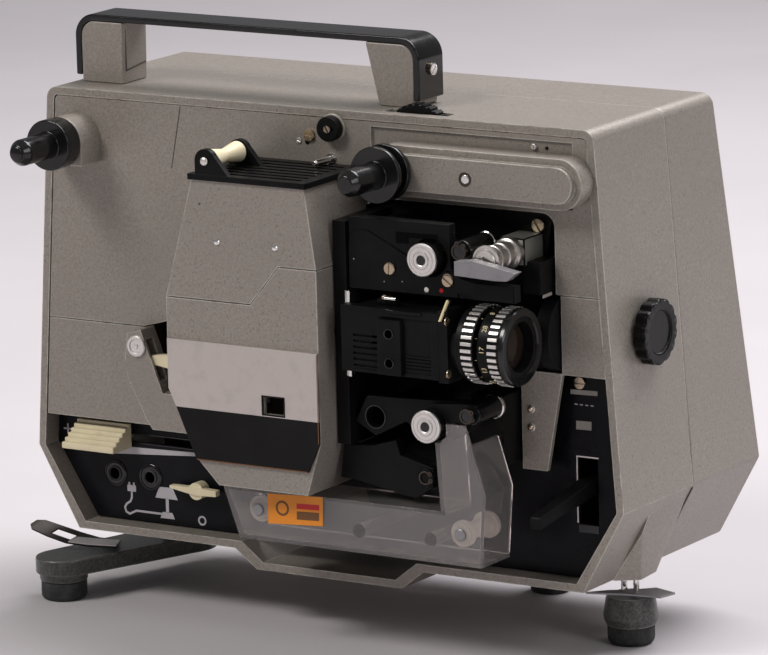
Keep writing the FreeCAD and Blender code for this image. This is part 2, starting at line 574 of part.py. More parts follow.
def framing_knob():
    """A small black knob with a screwdriver slot across its face."""
    face = "panel_front - 0.8 - knob_length"
    head = rod("framing_head", "Y", "knob_x", face, "knob_z", "knob_radius", "knob_length")
    stem = rod("framing_stem", "Y", "knob_x", "%s + knob_length / 2" % face, "knob_z",
               "knob_stem", "knob_length + 6")
    slot = box("framing_slot", "knob_x - knob_radius / 2", "knob_x + knob_radius / 2",
               "%s - 1" % face, "%s + 1" % face, "knob_z - 0.5", "knob_z + 0.5")
    node(cut("framing", fuse("framing_whole", head, stem), slot), "framing_knob")


def release_plunger():
    pin = rod("plunger_pin", "Y", "plunger_x", "panel_front - plunger_length", "plunger_z",
              "plunger_radius", "plunger_length + 8")
    tip = rod("plunger_tip", "Y", "plunger_x", "panel_front - plunger_length - 0.8", "plunger_z",
              "plunger_radius - 0.4", "2")
    node(fuse("plunger_whole", pin, tip), "release_plunger")


def speed_slider():
    """An ivory slider that comes down towards the front in ribbed steps."""
    steps = int(number("slider_ribs"))
    rise = "(slider_high - slider_low - 3) / %d" % steps
    tread = "(slider_back - slider_front) / %d" % (steps + 1)
    points = [("slider_front", "slider_low"), ("slider_back", "slider_low"),
              ("slider_back", "slider_high")]
    for i in range(steps):
        y = "slider_back - %d * (%s)" % (i + 1, tread)
        points.append((y, "slider_high - %d * (%s)" % (i, rise)))
        points.append((y, "slider_high - %d * (%s)" % (i + 1, rise)))
    points.append(("slider_front", "slider_high - %d * (%s)" % (steps, rise)))
    body = prism("slider_body", "YZ_Plane", points, "slider_left", "slider_length")
    tongue = box("slider_tongue", "slider_left + 4", "slider_left + slider_length - 4",
                 "slider_back - 1", "control_front + control_sheet + 5", "track_low + 0.2",
                 "track_high - 0.2")
    node(fuse("slider", body, tongue), "speed_slider")


def selector_pointer():
    """An ivory pointer on a round hub: a thin nose at the left, a short tail at the right."""
    front = "control_front - 0.2"
    nose = [("selector_x - selector_arm", "selector_z + 0.4"), ("selector_x", "selector_z - 1.8"),
            ("selector_x + selector_tail", "selector_z - 1.3"),
            ("selector_x + selector_tail", "selector_z + 1.3"), ("selector_x", "selector_z + 1.8"),
            ("selector_x - selector_arm", "selector_z + 1.6")]
    pointer = prism("pointer", "XZ_Plane", nose, front + " - 6", "3.4")
    hub = rod("selector_hub", "Y", "selector_x", front + " - 5.4", "selector_z",
              "selector_radius", "5.4")
    stem = rod("selector_stem", "Y", "selector_x", front + " - 2", "selector_z", "knob_stem", "10")
    node(fuse("selector", pointer, hub, stem), "selector_pointer")


def rewind_lever():
    """A black lever that comes out of its slot forwards, to the left and a little down."""
    root_y, t, w = number("control_front + 8"), number("lever_thick"), number("lever_width")
    root = Vector(number("lever_x"), root_y, number("lever_root_z"))
    neck = Vector(number("lever_x"), number("control_front - 3"), number("lever_root_z"))
    tip = Vector(number("lever_tip_x"), number("lever_tip_y"), number("lever_tip_z"))

    def section(at, shrink):
        a, b = (w - shrink) / 2, (t - shrink) / 2
        return Part.makePolygon([at + Vector(dx * a, 0, dz * b)
                                 for dx, dz in ((-1, -1), (1, -1), (1, 1), (-1, 1), (-1, -1))])

    made = doc.addObject("Part::Feature", "lever")
    straight = Part.makeLoft([section(root, 0), section(neck, 0)], True, True)
    slanted = Part.makeLoft([section(neck, 0), section(tip, 2)], True, True)
    made.Shape = straight.fuse(slanted)
    node(made, "rewind_lever")


def focus_wheel():
    """The black thumb wheel beside the lens, half sunk in the front panel."""
    disc = rod("focus_disc", "X", "focus_x", "focus_y", "focus_z", "focus_radius", "focus_width")
    axle = rod("focus_axle", "X", "focus_x - 1", "focus_y", "focus_z", "knob_stem",
               "focus_width + 2")
    node(fuse("focus_whole", disc, axle), "focus_wheel")


def inching_knob():
    """The fluted black knob on the end of the main shaft, dished in the middle."""
    start = "inch_face - inch_thick"
    knob = fluted("inching", "X", start, "inch_y", "inch_z", "inch_radius", "inch_thick",
                  int(number("flutes")), "flute_radius")
    dish = rod("inching_dish", "X", "inch_face - 1", "inch_y", "inch_z", "inch_radius * 0.62", "2")
    bore = rod("inching_bore", "X", start + " - 1", "inch_y", "inch_z", "shaft_radius",
               "inch_thick / 2 + 1")
    node(cut("inching_whole", knob, dish, bore), "inching_knob")


# ---- reels' sides ------------------------------------------------------------------------------

def spindle(name, x, z, start):
    """A reel spindle that points to the front, with a rounded nose."""
    shaft = rod(name + "_shaft", "Y", x, "spindle_tip + spindle_nose", z, "spindle_radius",
                "%s - spindle_tip - spindle_nose" % start)
    nose = taper(name + "_nose", "Y", x, "spindle_tip", z, "spindle_radius * 0.62",
                 "spindle_radius", "spindle_nose")
    return [shaft, nose]


def take_up():
    """The bearing block at the upper left, and the spindle that turns in it."""
    low = box("take_low", "take_x - take_block", "take_x + take_block", "take_block_front",
              "panel_front", "take_block_low", "take_z")
    arch = rod("take_arch", "Y", "take_x", "take_block_front", "take_z", "take_block",
               "panel_front - take_block_front")
    bore = rod("take_axle_bore", "Y", "take_x", "take_block_front - 1", "take_z",
               "axle_radius + running", "20")
    node(cut("take_housing", fuse("take_housing_whole", low, arch), bore), "takeup_block")
    disc = rod("take_disc", "Y", "take_x", "take_disc_front", "take_z", "take_disc",
               "take_disc_back - take_disc_front")
    axle = rod("take_axle", "Y", "take_x", "take_disc_back - 1", "take_z", "axle_radius",
               "axle_back - take_disc_back + 1")
    node(fuse("take_spindle", disc, axle, *spindle("take", "take_x", "take_z",
                                                   "take_disc_front")), "takeup_spindle")


def supply_arm():
    """The folding arm: a long rounded box with a raised ridge, on a pin at its right end."""
    def bar(name, radius, front, back):
        middle = box(name + "_bar", "arm_left", "arm_right", front, back, "arm_z - (%s)" % radius,
                     "arm_z + %s" % radius)
        ends = [rod("%s_end_%d" % (name, i), "Y", x, front, "arm_z", radius,
                    "(%s) - (%s)" % (back, front)) for i, x in enumerate(("arm_left", "arm_right"))]
        return fuse(name, middle, *ends)

    broad = bar("arm_broad", "arm_radius", "arm_front + arm_step", "arm_back")
    ridge = bar("arm_ridge", "arm_radius - arm_ridge", "arm_front", "arm_back - 1")
    pin = rod("arm_pin", "Y", "arm_right", "arm_back - 1", "arm_z", "arm_pin",
              "arm_pin_end - arm_back + 1")
    bore = rod("hub_bore", "Y", "arm_left", "arm_front - 1", "arm_z", "axle_radius + running",
               "arm_back - arm_front")
    node(cut("arm", fuse("arm_whole", broad, ridge, pin), bore), "supply_arm")
    front_flange = rod("hub_front_flange", "Y", "arm_left", "hub_front", "arm_z", "hub_radius",
                       "hub_flange")
    rear_flange = rod("hub_rear_flange", "Y", "arm_left", "hub_back - hub_flange", "arm_z",
                      "hub_radius", "hub_flange")
    core = rod("hub_core", "Y", "arm_left", "hub_front + 1", "arm_z", "hub_core",
               "hub_back - hub_front - 2")
    axle = rod("hub_axle", "Y", "arm_left", "hub_back - 1", "arm_z", "axle_radius",
               "arm_back - hub_back - 2")
    node(fuse("hub", front_flange, rear_flange, core, axle,
              *spindle("supply", "arm_left", "arm_z", "hub_front")), "supply_spindle")


# ---- the lamp house ----------------------------------------------------------------------------

def upper_house_points():
    """The upper cover from the front, starting at its top left corner and going clockwise."""
    return [("house_top_left", "house_top"), ("house_top_right", "house_top"),
            ("house_right", "house_split_right + split_gap"),
            ("split_x_high", "house_split_right + split_gap"),
            ("split_x_low", "house_split_left + split_gap"),
            ("house_left", "house_split_left + split_gap")]


def lower_house_points():
    """The lower cover from the front, starting at its top left corner and going clockwise."""
    return [("house_left", "house_split_left"), ("split_x_low", "house_split_left"),
            ("split_x_high", "house_split_right"), ("house_right", "house_split_right"),
            ("house_right", "house_low_kink"), ("house_low_right", "house_low"),
            ("house_low_left", "house_low"), ("face_low_left", "face_low"),
            ("house_left", "house_kink")]


def lamp_house():
    """Two deep covers open at the back, the upper one lifting away from the lower one."""
    depth = "house_back - house_front"
    room_front, room_depth = "house_front + house_wall", "house_back - house_front + house_wall"
    upper = prism("upper_house", "XZ_Plane", upper_house_points(), "house_front", depth)
    room = [("house_top_left + house_wall", "house_top - house_wall"),
            ("house_top_right - house_wall", "house_top - house_wall"),
            ("house_right - house_wall", "house_split_right"),
            ("split_x_high + house_wall", "house_split_right - house_wall"),
            ("split_x_low + house_wall", "house_split_left - house_wall"),
            ("house_left + house_wall", "house_split_left - house_wall")]
    pocket(upper, "upper_room", "XZ_Plane", room, room_front, room_depth)
    slots = [box("air_slot_%d" % i, "house_top_left + 2 * house_wall",
                 "house_top_right - 2 * house_wall",
                 "house_front + 3.4 + %d * slot_pitch" % i,
                 "house_front + 3.4 + %d * slot_pitch + slot_width" % i,
                 "house_top - 2 * house_wall", "house_top + house_wall")
             for i in range(int(number("grille_slots")))]
    node(cut("upper_house_cut", upper, *slots), "lamp_upper_cover")

    lower = prism("lower_house", "XZ_Plane", lower_house_points(), "house_front", depth)
    room = [("house_left + house_wall", "house_split_left + house_wall"),
            ("split_x_low + house_wall", "house_split_left + house_wall"),
            ("split_x_high + house_wall", "house_split_right + house_wall"),
            ("house_right - house_wall", "house_split_right + house_wall"),
            ("house_right - house_wall", "house_low_kink"),
            ("house_low_right - house_wall / 2", "house_low + house_wall"),
            ("house_low_left + house_wall / 2", "house_low + house_wall"),
            ("face_low_left + house_wall", "face_low"),
            ("house_left + house_wall", "house_kink")]
    pocket(lower, "lower_room", "XZ_Plane", room, room_front, room_depth)
    beam = rod("beam_hole", "X", "house_right - 2 * house_wall", "optic_y", "optic_z",
               "beam_radius", "4 * house_wall")
    window = box("lower_window", "face_hole_left", "face_hole_right", "house_front - 1",
                 "house_front + house_wall + 1", "face_hole_low", "face_hole_high")
    node(cut("lower_house_cut", lower, beam, window), "lamp_lower_cover")

    face = prism("face", "XZ_Plane",
                 [("house_left + 0.6", "face_top"), ("house_left + 0.6", "house_kink"),
                  ("face_low_left", "face_low"), ("face_low_right", "face_low"),
                  ("house_right", "house_low_kink"), ("house_right", "face_top")],
                 "house_front - face_thick", "face_thick")
    hole = box("face_hole", "face_hole_left", "face_hole_right", "house_front - 2 * face_thick",
               "house_front + face_thick", "face_hole_low", "face_hole_high")
    node(cut("face_cut", face, hole), "lamp_face_plate")


def lamp_grille():
    """The black slatted top of the lamp house, with two ears that hold the rewind roller."""
    plate = box("grille_plate", "house_top_left - grille_lip", "house_top_right + grille_lip",
                "house_front - grille_lip", "house_back - 1", "house_top",
                "house_top + grille_thick")
    slots = [box("grille_slot_%d" % i, "house_top_left + 2 * house_wall",
                 "house_top_right - 2 * house_wall",
                 "house_front + 3.4 + %d * slot_pitch" % i,
                 "house_front + 3.4 + %d * slot_pitch + slot_width" % i,
                 "house_top - 1", "house_top + 2 * grille_thick")
             for i in range(int(number("grille_slots")))]
    ears = []
    for name, y in (("ear_front", "ear_front"), ("ear_back", "ear_back - ear_width")):
        web = prism(name + "_web", "XZ_Plane",
                    [("ear_x - ear_radius", "house_top + 1"),
                     ("ear_x + ear_toe", "house_top + 1"),
                     ("ear_x + ear_radius * 0.77", "ear_z + ear_radius * 0.6"),
                     ("ear_x - ear_radius", "ear_z")], y, "ear_width")
        ears += [web, rod(name + "_eye", "Y", "ear_x", y, "ear_z", "ear_radius", "ear_width")]
    pin = rod("ear_pin", "Y", "ear_x", "ear_front - 0.6", "ear_z", "ear_pin",
              "ear_back - ear_front + 0.6")
    slatted = cut("grille_slats", plate, *slots)
    node(fuse("grille", slatted, pin, *ears), "lamp_grille")


def rewind_roller():
    """An ivory roller, waisted in the middle, that turns on the pin between the ears."""
    front = "ear_front + ear_width + roller_gap"
    length = "(ear_back - ear_width - roller_gap - (%s))" % front
    first = taper("roller_front", "Y", "ear_x", front, "ear_z", "roller_end", "roller_waist",
                  length + " / 2")
    second = taper("roller_back", "Y", "ear_x", "%s + %s / 2" % (front, length), "ear_z",
                   "roller_waist", "roller_end", length + " / 2")
    bore = rod("roller_bore", "Y", "ear_x", front + " - 1", "ear_z", "ear_pin + running",
               length + " + 2")
    node(cut("roller", fuse("roller_whole", first, second), bore), "rewind_roller")


def lamp():
    """A capsule lamp in its ceramic base, and the condenser lens in front of it."""
    base = box("lamp_base", "lamp_x - lamp_base", "lamp_x + lamp_base", "optic_y - lamp_base",
               "optic_y + lamp_base", "lamp_base_low", "lamp_base_low + 2 * lamp_base")
    foot = box("lamp_foot", "lamp_x - lamp_base / 2", "lamp_x + lamp_base / 2", "optic_y",
               "mech_front", "lamp_base_low - 2", "lamp_base_low + 2")
    bulb = rod("lamp_bulb", "Z", "lamp_x", "optic_y", "lamp_base_low + 2 * lamp_base - 1",
               "lamp_radius", "lamp_length")
    node(fuse("lamp_whole", base, foot, bulb), "lamp")
    glass = rod("condenser_glass", "X", "condenser_x", "optic_y", "optic_z", "condenser_radius",
                "condenser_thick")
    bulge = taper("condenser_bulge", "X", "condenser_x + condenser_thick", "optic_y", "optic_z",
                  "condenser_radius", "condenser_radius / 2", "2")
    node(fuse("condenser", glass, bulge), "condenser_lens")


# ---- the film mechanism ------------------------------------------------------------------------

def mechanism_plate():
    """The black cast plate behind the film path, with the gate block and the shaft's two lugs."""
    points = [("mech_left", "mech_low"), ("strip_left - 0.6", "mech_low"),
              ("strip_left - 0.6", "mech_hip"), ("mech_waist", "mech_hip"),
              ("mech_waist", "mech_shoulder"), ("mech_right", "mech_shoulder"),
              ("mech_right", "mech_top"), ("mech_left", "mech_top")]
    plate = prism("mech_sheet", "XZ_Plane", points, "mech_front", "mech_back - mech_front")
    round_edges(plate, "mech_sheet_round", "open_round", "Y", ("mech_right", "mech_top"),
                ("mech_left", "mech_low"))
    block = box("gate_block", "mech_left", "gate_block_right", "gate_block_front", "mech_back - 1",
                "gate_block_low", "gate_block_high")
    beam = rod("gate_beam", "X", "mech_left - 1", "optic_y", "optic_z", "beam_radius", "12")
    lugs = [box("lug_%d" % i, x, "%s + lug_thick" % x, "mech_front + 1", "lug_back", "lug_low",
                "lug_high") for i, x in enumerate(("mech_left", "lug_far"))]
    bores = [rod("main_bore_%d" % i, "X", x + " - 1", "inch_y", "inch_z",
                 "shaft_radius + running", "lug_thick + 2")
             for i, x in enumerate(("mech_left", "lug_far"))]
    bores.append(rod("shutter_bore", "X", "mech_left - 1", "shutter_y", "optic_z",
                     "shaft_radius + running", "lug_thick + 2"))
    corner = box("corner_cover", "cover_left", "cover_right", "cover_front", "mech_back - 1",
                 "cover_low", "cover_high")
    gear_box = box("gear_box", "box_left", "box_right", "box_front", "mech_back - 1", "box_low",
                   "box_high")
    square = box("feed_square", "feed_x - feed_block / 2", "feed_x + feed_block / 2",
                 "feed_back + 0.1", "mech_back - 1", "feed_z - feed_block / 2",
                 "feed_z + feed_block / 2")
    axles = [rod("sprocket_bore_%s" % z, "Y", "sprocket_x", "-through / 2", z, "axle_radius + running",
                 "through") for z in ("sprocket_high", "sprocket_low")]
    axles.append(rod("feed_bore", "Y", "feed_x", "-through / 2", "feed_z", "axle_radius + running",
                    "through"))
    pinch = rod("pinch_bore", "Y", "pinch_left + pinch_inset", "-through / 2", "pinch_low + 3",
                "pinch_pin + running", "through")
    whole = fuse("mechanism_whole", plate, block, corner, gear_box, square, *lugs)
    node(cut("mechanism", whole, beam, pinch, *(bores + axles)), "mechanism_plate")


def film_guards():
    """The black guides in front of the film path: one above the lens, one below, one arm."""
    upper = prism("guard_high", "XZ_Plane",
                  [("guard_left", "guard_low"), ("guard_right", "guard_low"),
                   ("guard_right", "guard_nose"), ("guard_step", "guard_nose"),
                   ("guard_crown", "guard_shoulder"), ("guard_crown", "guard_top"),
                   ("guard_left", "guard_top")], "guard_front", "guard_thick")
    root = box("guard_high_root", "guard_left + 5", "guard_left + 29", "guard_front + guard_thick - 1",
               "mech_front", "guard_low + 3", "guard_top - 4")
    well = rod("guard_high_well", "Y", "sprocket_x", "guard_front - 1", "sprocket_high",
               "sprocket_radius + 1", "guard_thick + 2")
    node(cut("guard_high_cut", fuse("guard_high_whole", upper, root), well), "upper_film_guard")

    lower = prism("guard_low_plate", "XZ_Plane",
                  [("shoe_left", "shoe_top"), ("shoe_corner", "shoe_corner_z"),
                   ("shoe_toe", "shoe_toe_z"), ("shoe_waist", "shoe_waist_z"),
                   ("cup_left", "cup_low"), ("cup_right", "cup_low"),
                   ("shoe_flank", "shoe_waist_z"), ("shoe_right", "shoe_right_z"),
                   ("shoe_back", "shoe_back_z"), ("shoe_waist", "shoe_top + 0.6")],
                  "guard_front + 2", "guard_thick")
    root = box("guard_low_root", "shoe_waist - 10", "shoe_waist + 2",
               "guard_front + guard_thick + 1", "mech_front", "shoe_waist_z + 2", "shoe_top")
    hole = rod("guard_low_hole", "Y", "shoe_hole_x", "guard_front", "shoe_hole_z", "shoe_hole",
               "guard_thick + 4")
    well = rod("guard_low_well", "Y", "sprocket_x", "guard_front", "sprocket_low",
               "sprocket_radius + 1", "guard_thick + 4")
    node(cut("guard_low_cut", fuse("guard_low_whole", lower, root), hole, well),
         "lower_film_guard")

    arm = prism("loop_guide", "XZ_Plane",
                [("hook_left", "hook_top"), ("hook_heel", "hook_low"),
                 ("hook_sole", "hook_low - 0.5"), ("hook_tip_low", "hook_tip_z"),
                 ("hook_tip", "hook_low"), ("hook_tip", "hook_end"), ("hook_neck", "hook_bend"),
                 ("hook_neck - 2", "hook_crown"), ("hook_crest", "hook_crown - 3.5")],
                "guard_front + 3", "guard_thick")
    root = box("loop_guide_root", "hook_left + 4.4", "hook_crest", "guard_front + guard_thick + 2",
               "mech_front", "hook_end", "hook_top")
    node(fuse("loop_guide_whole", arm, root), "lower_guide_arm")


def sprockets():
    """The two film sprockets, a wide silver flange in front of a thinner toothed drum."""
    for name, z in (("upper", "sprocket_high"), ("lower", "sprocket_low")):
        flange = rod(name + "_flange", "Y", "sprocket_x", "sprocket_front", z, "sprocket_radius",
                     "sprocket_flange")
        drum = rod(name + "_drum", "Y", "sprocket_x", "sprocket_front + 1", z, "sprocket_core",
                   "sprocket_back - sprocket_front - 1")
        rear = rod(name + "_rear", "Y", "sprocket_x", "sprocket_back - 2", z, "sprocket_radius",
                   "2")
        axle = rod(name + "_axle", "Y", "sprocket_x", "sprocket_back - 1", z, "axle_radius",
                   "axle_back - sprocket_back")
        node(fuse(name + "_whole", flange, drum, rear, axle), name + "_sprocket")


def feed_cylinder():
    """The bright stepped cylinder with a square end, on its own axle, and the lever before it."""
    drum = rod("feed_drum", "Y", "feed_x", "feed_front", "feed_z", "feed_radius",
               "(feed_back - feed_front) / 2")
    small = rod("feed_small", "Y", "feed_x", "feed_front + 1", "feed_z", "feed_radius - 1.6",
                "feed_back - feed_front - 1")
    axle = rod("feed_axle", "Y", "feed_x", "feed_back", "feed_z", "axle_radius",
               "axle_back - feed_back")
    node(fuse("feed_whole", drum, small, axle), "feed_cylinder")

    wedge = prism("pinch_wedge", "XZ_Plane",
                  [("pinch_left", "pinch_low + 0.4"), ("pinch_right - 10", "pinch_low - 0.3"),
                   ("pinch_right - 4.6", "pinch_low"), ("pinch_right", "pinch_mid"),
                   ("pinch_left + 8.5", "pinch_high + 1"), ("pinch_left", "pinch_high")],
                  "pinch_front", "pinch_thick")
    pin = rod("pinch_pin_rod", "Y", "pinch_left + pinch_inset", "pinch_front + 1",
              "pinch_low + 3", "pinch_pin", "mech_back - pinch_front + 4")
    node(fuse("pinch_whole", wedge, pin), "pinch_lever")


def film_gate():
    """The thin aperture plate at the gate, and the claw that pulls the film down behind it."""
    plate = box("aperture", "aperture_x", "aperture_x + aperture_thick", "optic_y - 8",
                "optic_y + 8", "optic_z - aperture_half", "optic_z + aperture_half")
    frame_hole = box("aperture_hole", "aperture_x - 1", "aperture_x + aperture_thick + 1",
                     "optic_y - 2.9", "optic_y + 2.9", "optic_z - 2.1", "optic_z + 2.1")
    claw_slot = box("claw_slot", "aperture_x - 1", "aperture_x + aperture_thick + 1",
                    "optic_y + 4.2", "optic_y + 5.8", "optic_z - 16", "optic_z - 4")
    back = box("aperture_back", "gate_block_right", "aperture_x + 0.4", "optic_y - 7",
               "optic_y - 3.6", "optic_z - aperture_half", "optic_z + aperture_half")
    node(cut("gate", fuse("gate_whole", plate, back), frame_hole, claw_slot), "gate_plate")
    bar = box("claw_bar", "gate_block_right + 0.2", "aperture_x - 0.15", "optic_y + 4.4",
              "optic_y + 4.4 + claw_length - 8", "optic_z - 13", "optic_z - 13 + claw_height")
    tooth = box("claw_tooth", "aperture_x - 0.4", "aperture_x + aperture_thick + 0.8",
                "optic_y + 4.5", "optic_y + 5.5", "optic_z - 10.6", "optic_z - 9.8")
    node(fuse("claw_whole", bar, tooth), "film_claw")


def shutter():
    """The thin shutter disc with two windows, its short shaft and its gear."""
    disc = rod("shutter_disc", "X", "shutter_x", "shutter_y", "optic_z", "shutter_radius",
               "shutter_thick")
    windows = []
    for i, side in enumerate(("-1", "1")):
        windows.append(box("shutter_window_%d" % i, "shutter_x - 1", "shutter_x + 2",
                           "shutter_y - 12", "shutter_y + 12",
                           "optic_z + (%s) * 30 - 12" % side, "optic_z + (%s) * 30 + 12" % side))
    shaft = rod("shutter_shaft", "X", "shutter_x - 3", "shutter_y", "optic_z", "shaft_radius",
                "gear_x + gear_width + 1 - shutter_x")
    hub = rod("shutter_hub", "X", "shutter_x - 3", "shutter_y", "optic_z", "shutter_hub", "6")
    apart = math.hypot(number("inch_y - shutter_y"), number("inch_z - optic_z"))
    gear = rod("shutter_gear", "X", "gear_x", "shutter_y", "optic_z",
               "%.6f / 2 - gear_gap" % apart, "gear_width")
    node(fuse("shutter_whole", cut("shutter_vane", disc, *windows), shaft, hub, gear), "shutter")
    shaft = rod("main_rod", "X", "mech_left - 2", "inch_y", "inch_z", "shaft_radius",
                "inch_face - inch_thick / 2 - mech_left + 2")
    pulley = rod("main_pulley", "X", "pulley_x", "inch_y", "inch_z", "pulley_radius",
                 "pulley_width")
    gear = rod("main_gear", "X", "gear_x", "inch_y", "inch_z", "%.6f / 2" % apart, "gear_width")
    node(fuse("main_whole", shaft, pulley, gear), "main_shaft")


# ---- the lens ----------------------------------------------------------------------------------

def lens_rod(name, start, radius, length):
    return rod(name, "X", start, "optic_y", "optic_z", radius, length)


def lens():
    """The carrier block with its round flange plate, and the lens that slides in it."""
    block = box("carrier_block", "carrier_left", "carrier_right", "carrier_front", "carrier_back",
                "carrier_low", "carrier_high")
    flange = box("carrier_flange", "carrier_right - 0.5", "flange_right", "flange_front",
                 "flange_back", "flange_low", "flange_high")
    cheek = box("carrier_cheek", "cheek_left", "carrier_left + 1", "carrier_front",
                "cheek_back", "carrier_low", "carrier_high")
    pad = box("pressure_pad", "pressure_left", "carrier_left + 1", "optic_y - 6", "optic_y + 3.6",
              "optic_z - pressure_half", "optic_z + pressure_half")
    bore = lens_rod("carrier_bore", "carrier_left + 8", "barrel_radius + running", "60")
    beam = lens_rod("carrier_beam", "pressure_left - 1", "beam_radius", "20")
    fins = []
    for i in range(6):
        z = "carrier_low + 2.4 + %d * 2.6" % i
        fins.append(box("carrier_fin_%d" % i, "carrier_left - 1", "carrier_left + 13",
                        "carrier_front - 1", "carrier_front + 1", z, z + " + 1.1"))
    node(cut("carrier", fuse("carrier_whole", block, cheek, flange, pad), bore, beam, *fins),
         "lens_carrier")

    tube = lens_rod("barrel_tube", "barrel_back", "barrel_radius", "nose_start - barrel_back + 1")
    nose = lens_rod("barrel_nose", "nose_start", "barrel_nose",
                    "focus_ring_start - 0.1 - nose_start")
    seat = lens_rod("barrel_seat", "nose_start", "barrel_radius", "barrel_front - nose_start")
    lip = lens_rod("barrel_lip", "focus_ring_start + focus_ring_width + 0.1", "barrel_nose + 0.4",
                   "barrel_front - focus_ring_start - focus_ring_width - 0.1")
    collar = lens_rod("barrel_collar", "zoom_start - 3", "barrel_nose", "2.9")
    hollow = lens_rod("barrel_hollow", "barrel_back - 1", "glass_radius",
                      "barrel_front - barrel_back + 2")
    node(cut("barrel", fuse("barrel_whole", tube, nose, seat, lip, collar), hollow),
         "lens_barrel")
    for name, start, width in (("zoom_ring", "zoom_start", "zoom_width"),
                               ("focus_ring", "focus_ring_start", "focus_ring_width")):
        node(cut(name + "_cut", lens_rod(name + "_rim", start, "ring_radius", width),
                 lens_rod(name + "_bore", start + " - 1", "ring_bore", width + " + 2")), name)
    node(group("glasses",
               lens_rod("front_glass", "glass_front - glass_thick", "glass_radius",
                        "glass_thick"),
               lens_rod("rear_glass", "glass_rear", "glass_radius", "glass_thick")), "lens_glass")


# ---- the clear film channel --------------------------------------------------------------------

def film_channel():
    """The clear cover over the lower film path: a long trough that turns up at its right end."""
    outer = [("channel_left", "channel_mid"), ("channel_left_low", "channel_low"),
             ("channel_right_low", "channel_low"), ("channel_right", "channel_right_mid"),
             ("channel_right_top", "channel_neck_top"), ("channel_neck", "channel_neck_top"),
             ("channel_elbow", "channel_mid")]
    w = "channel_wall"
    inner = [("channel_left + 1.3 * " + w, "channel_mid - " + w),
             ("channel_left_low + 1.2 * " + w, "channel_low + " + w),
             ("channel_right_low - " + w, "channel_low + " + w),
             ("channel_right - 1.1 * " + w, "channel_right_mid"),
             ("channel_right_top - 1.2 * " + w, "channel_neck_top + " + w),
             ("channel_neck + " + w, "channel_neck_top + " + w),
             ("channel_elbow + " + w, "channel_mid - " + w)]
    body = prism("channel", "XZ_Plane", outer, "channel_front", "channel_back - channel_front")
    pocket(body, "channel_room", "XZ_Plane", inner, "channel_front + " + w,
           "channel_back - channel_front")
    tongue = prism("channel_tongue", "XZ_Plane",
                   [("tongue_left", "channel_neck_top - 4"),
                    ("tongue_left", "channel_neck_top + 0.4"), ("tongue_step", "tongue_step_z"),
                    ("tongue_step", "tongue_top"), ("tongue_right", "tongue_top"),
                    ("channel_right_top", "channel_neck_top"),
                    ("channel_right_top - 1", "channel_neck_top - 4")], "channel_front", w)
    studs = [rod("channel_stud_%d" % i, "Y", x, "channel_front + 0.5", "channel_roller_z",
                 "channel_stud", "channel_back - channel_front - 1")
             for i, x in enumerate(("channel_roller_left", "channel_roller_right"))]
    posts = [rod("channel_post_%d" % i, "Y", x, "channel_front + 0.5", z, "channel_post",
                 "control_front - channel_front - 0.5")
             for i, (x, z) in enumerate((("channel_post_left", "channel_post_z"),
                                         ("channel_elbow - 6", "channel_post_z")))]
    node(fuse("channel_whole", body, tongue, *(studs + posts)), "clear_film_channel")

    for side in ("left", "right"):
        x = "channel_roller_" + side
        front = "channel_front + channel_wall + 0.8"
        length = "channel_back - channel_front - channel_wall - 1.6"
        drum = rod(side + "_drum", "Y", x, front, "channel_roller_z", "channel_roller_radius - 2",
                   length)
        rims = [rod("%s_rim_%d" % (side, i), "Y", x, y, "channel_roller_z",
                    "channel_roller_radius", "2.4")
                for i, y in enumerate((front, "channel_back - 3.2"))]
        bore = rod(side + "_bore", "Y", x, "channel_front", "channel_roller_z",
                   "channel_stud + running", "60")
        node(cut(side + "_roller", fuse(side + "_roller_whole", drum, *rims), bore),
             "channel_roller_" + side)


# ---- the drive inside --------------------------------------------------------------------------

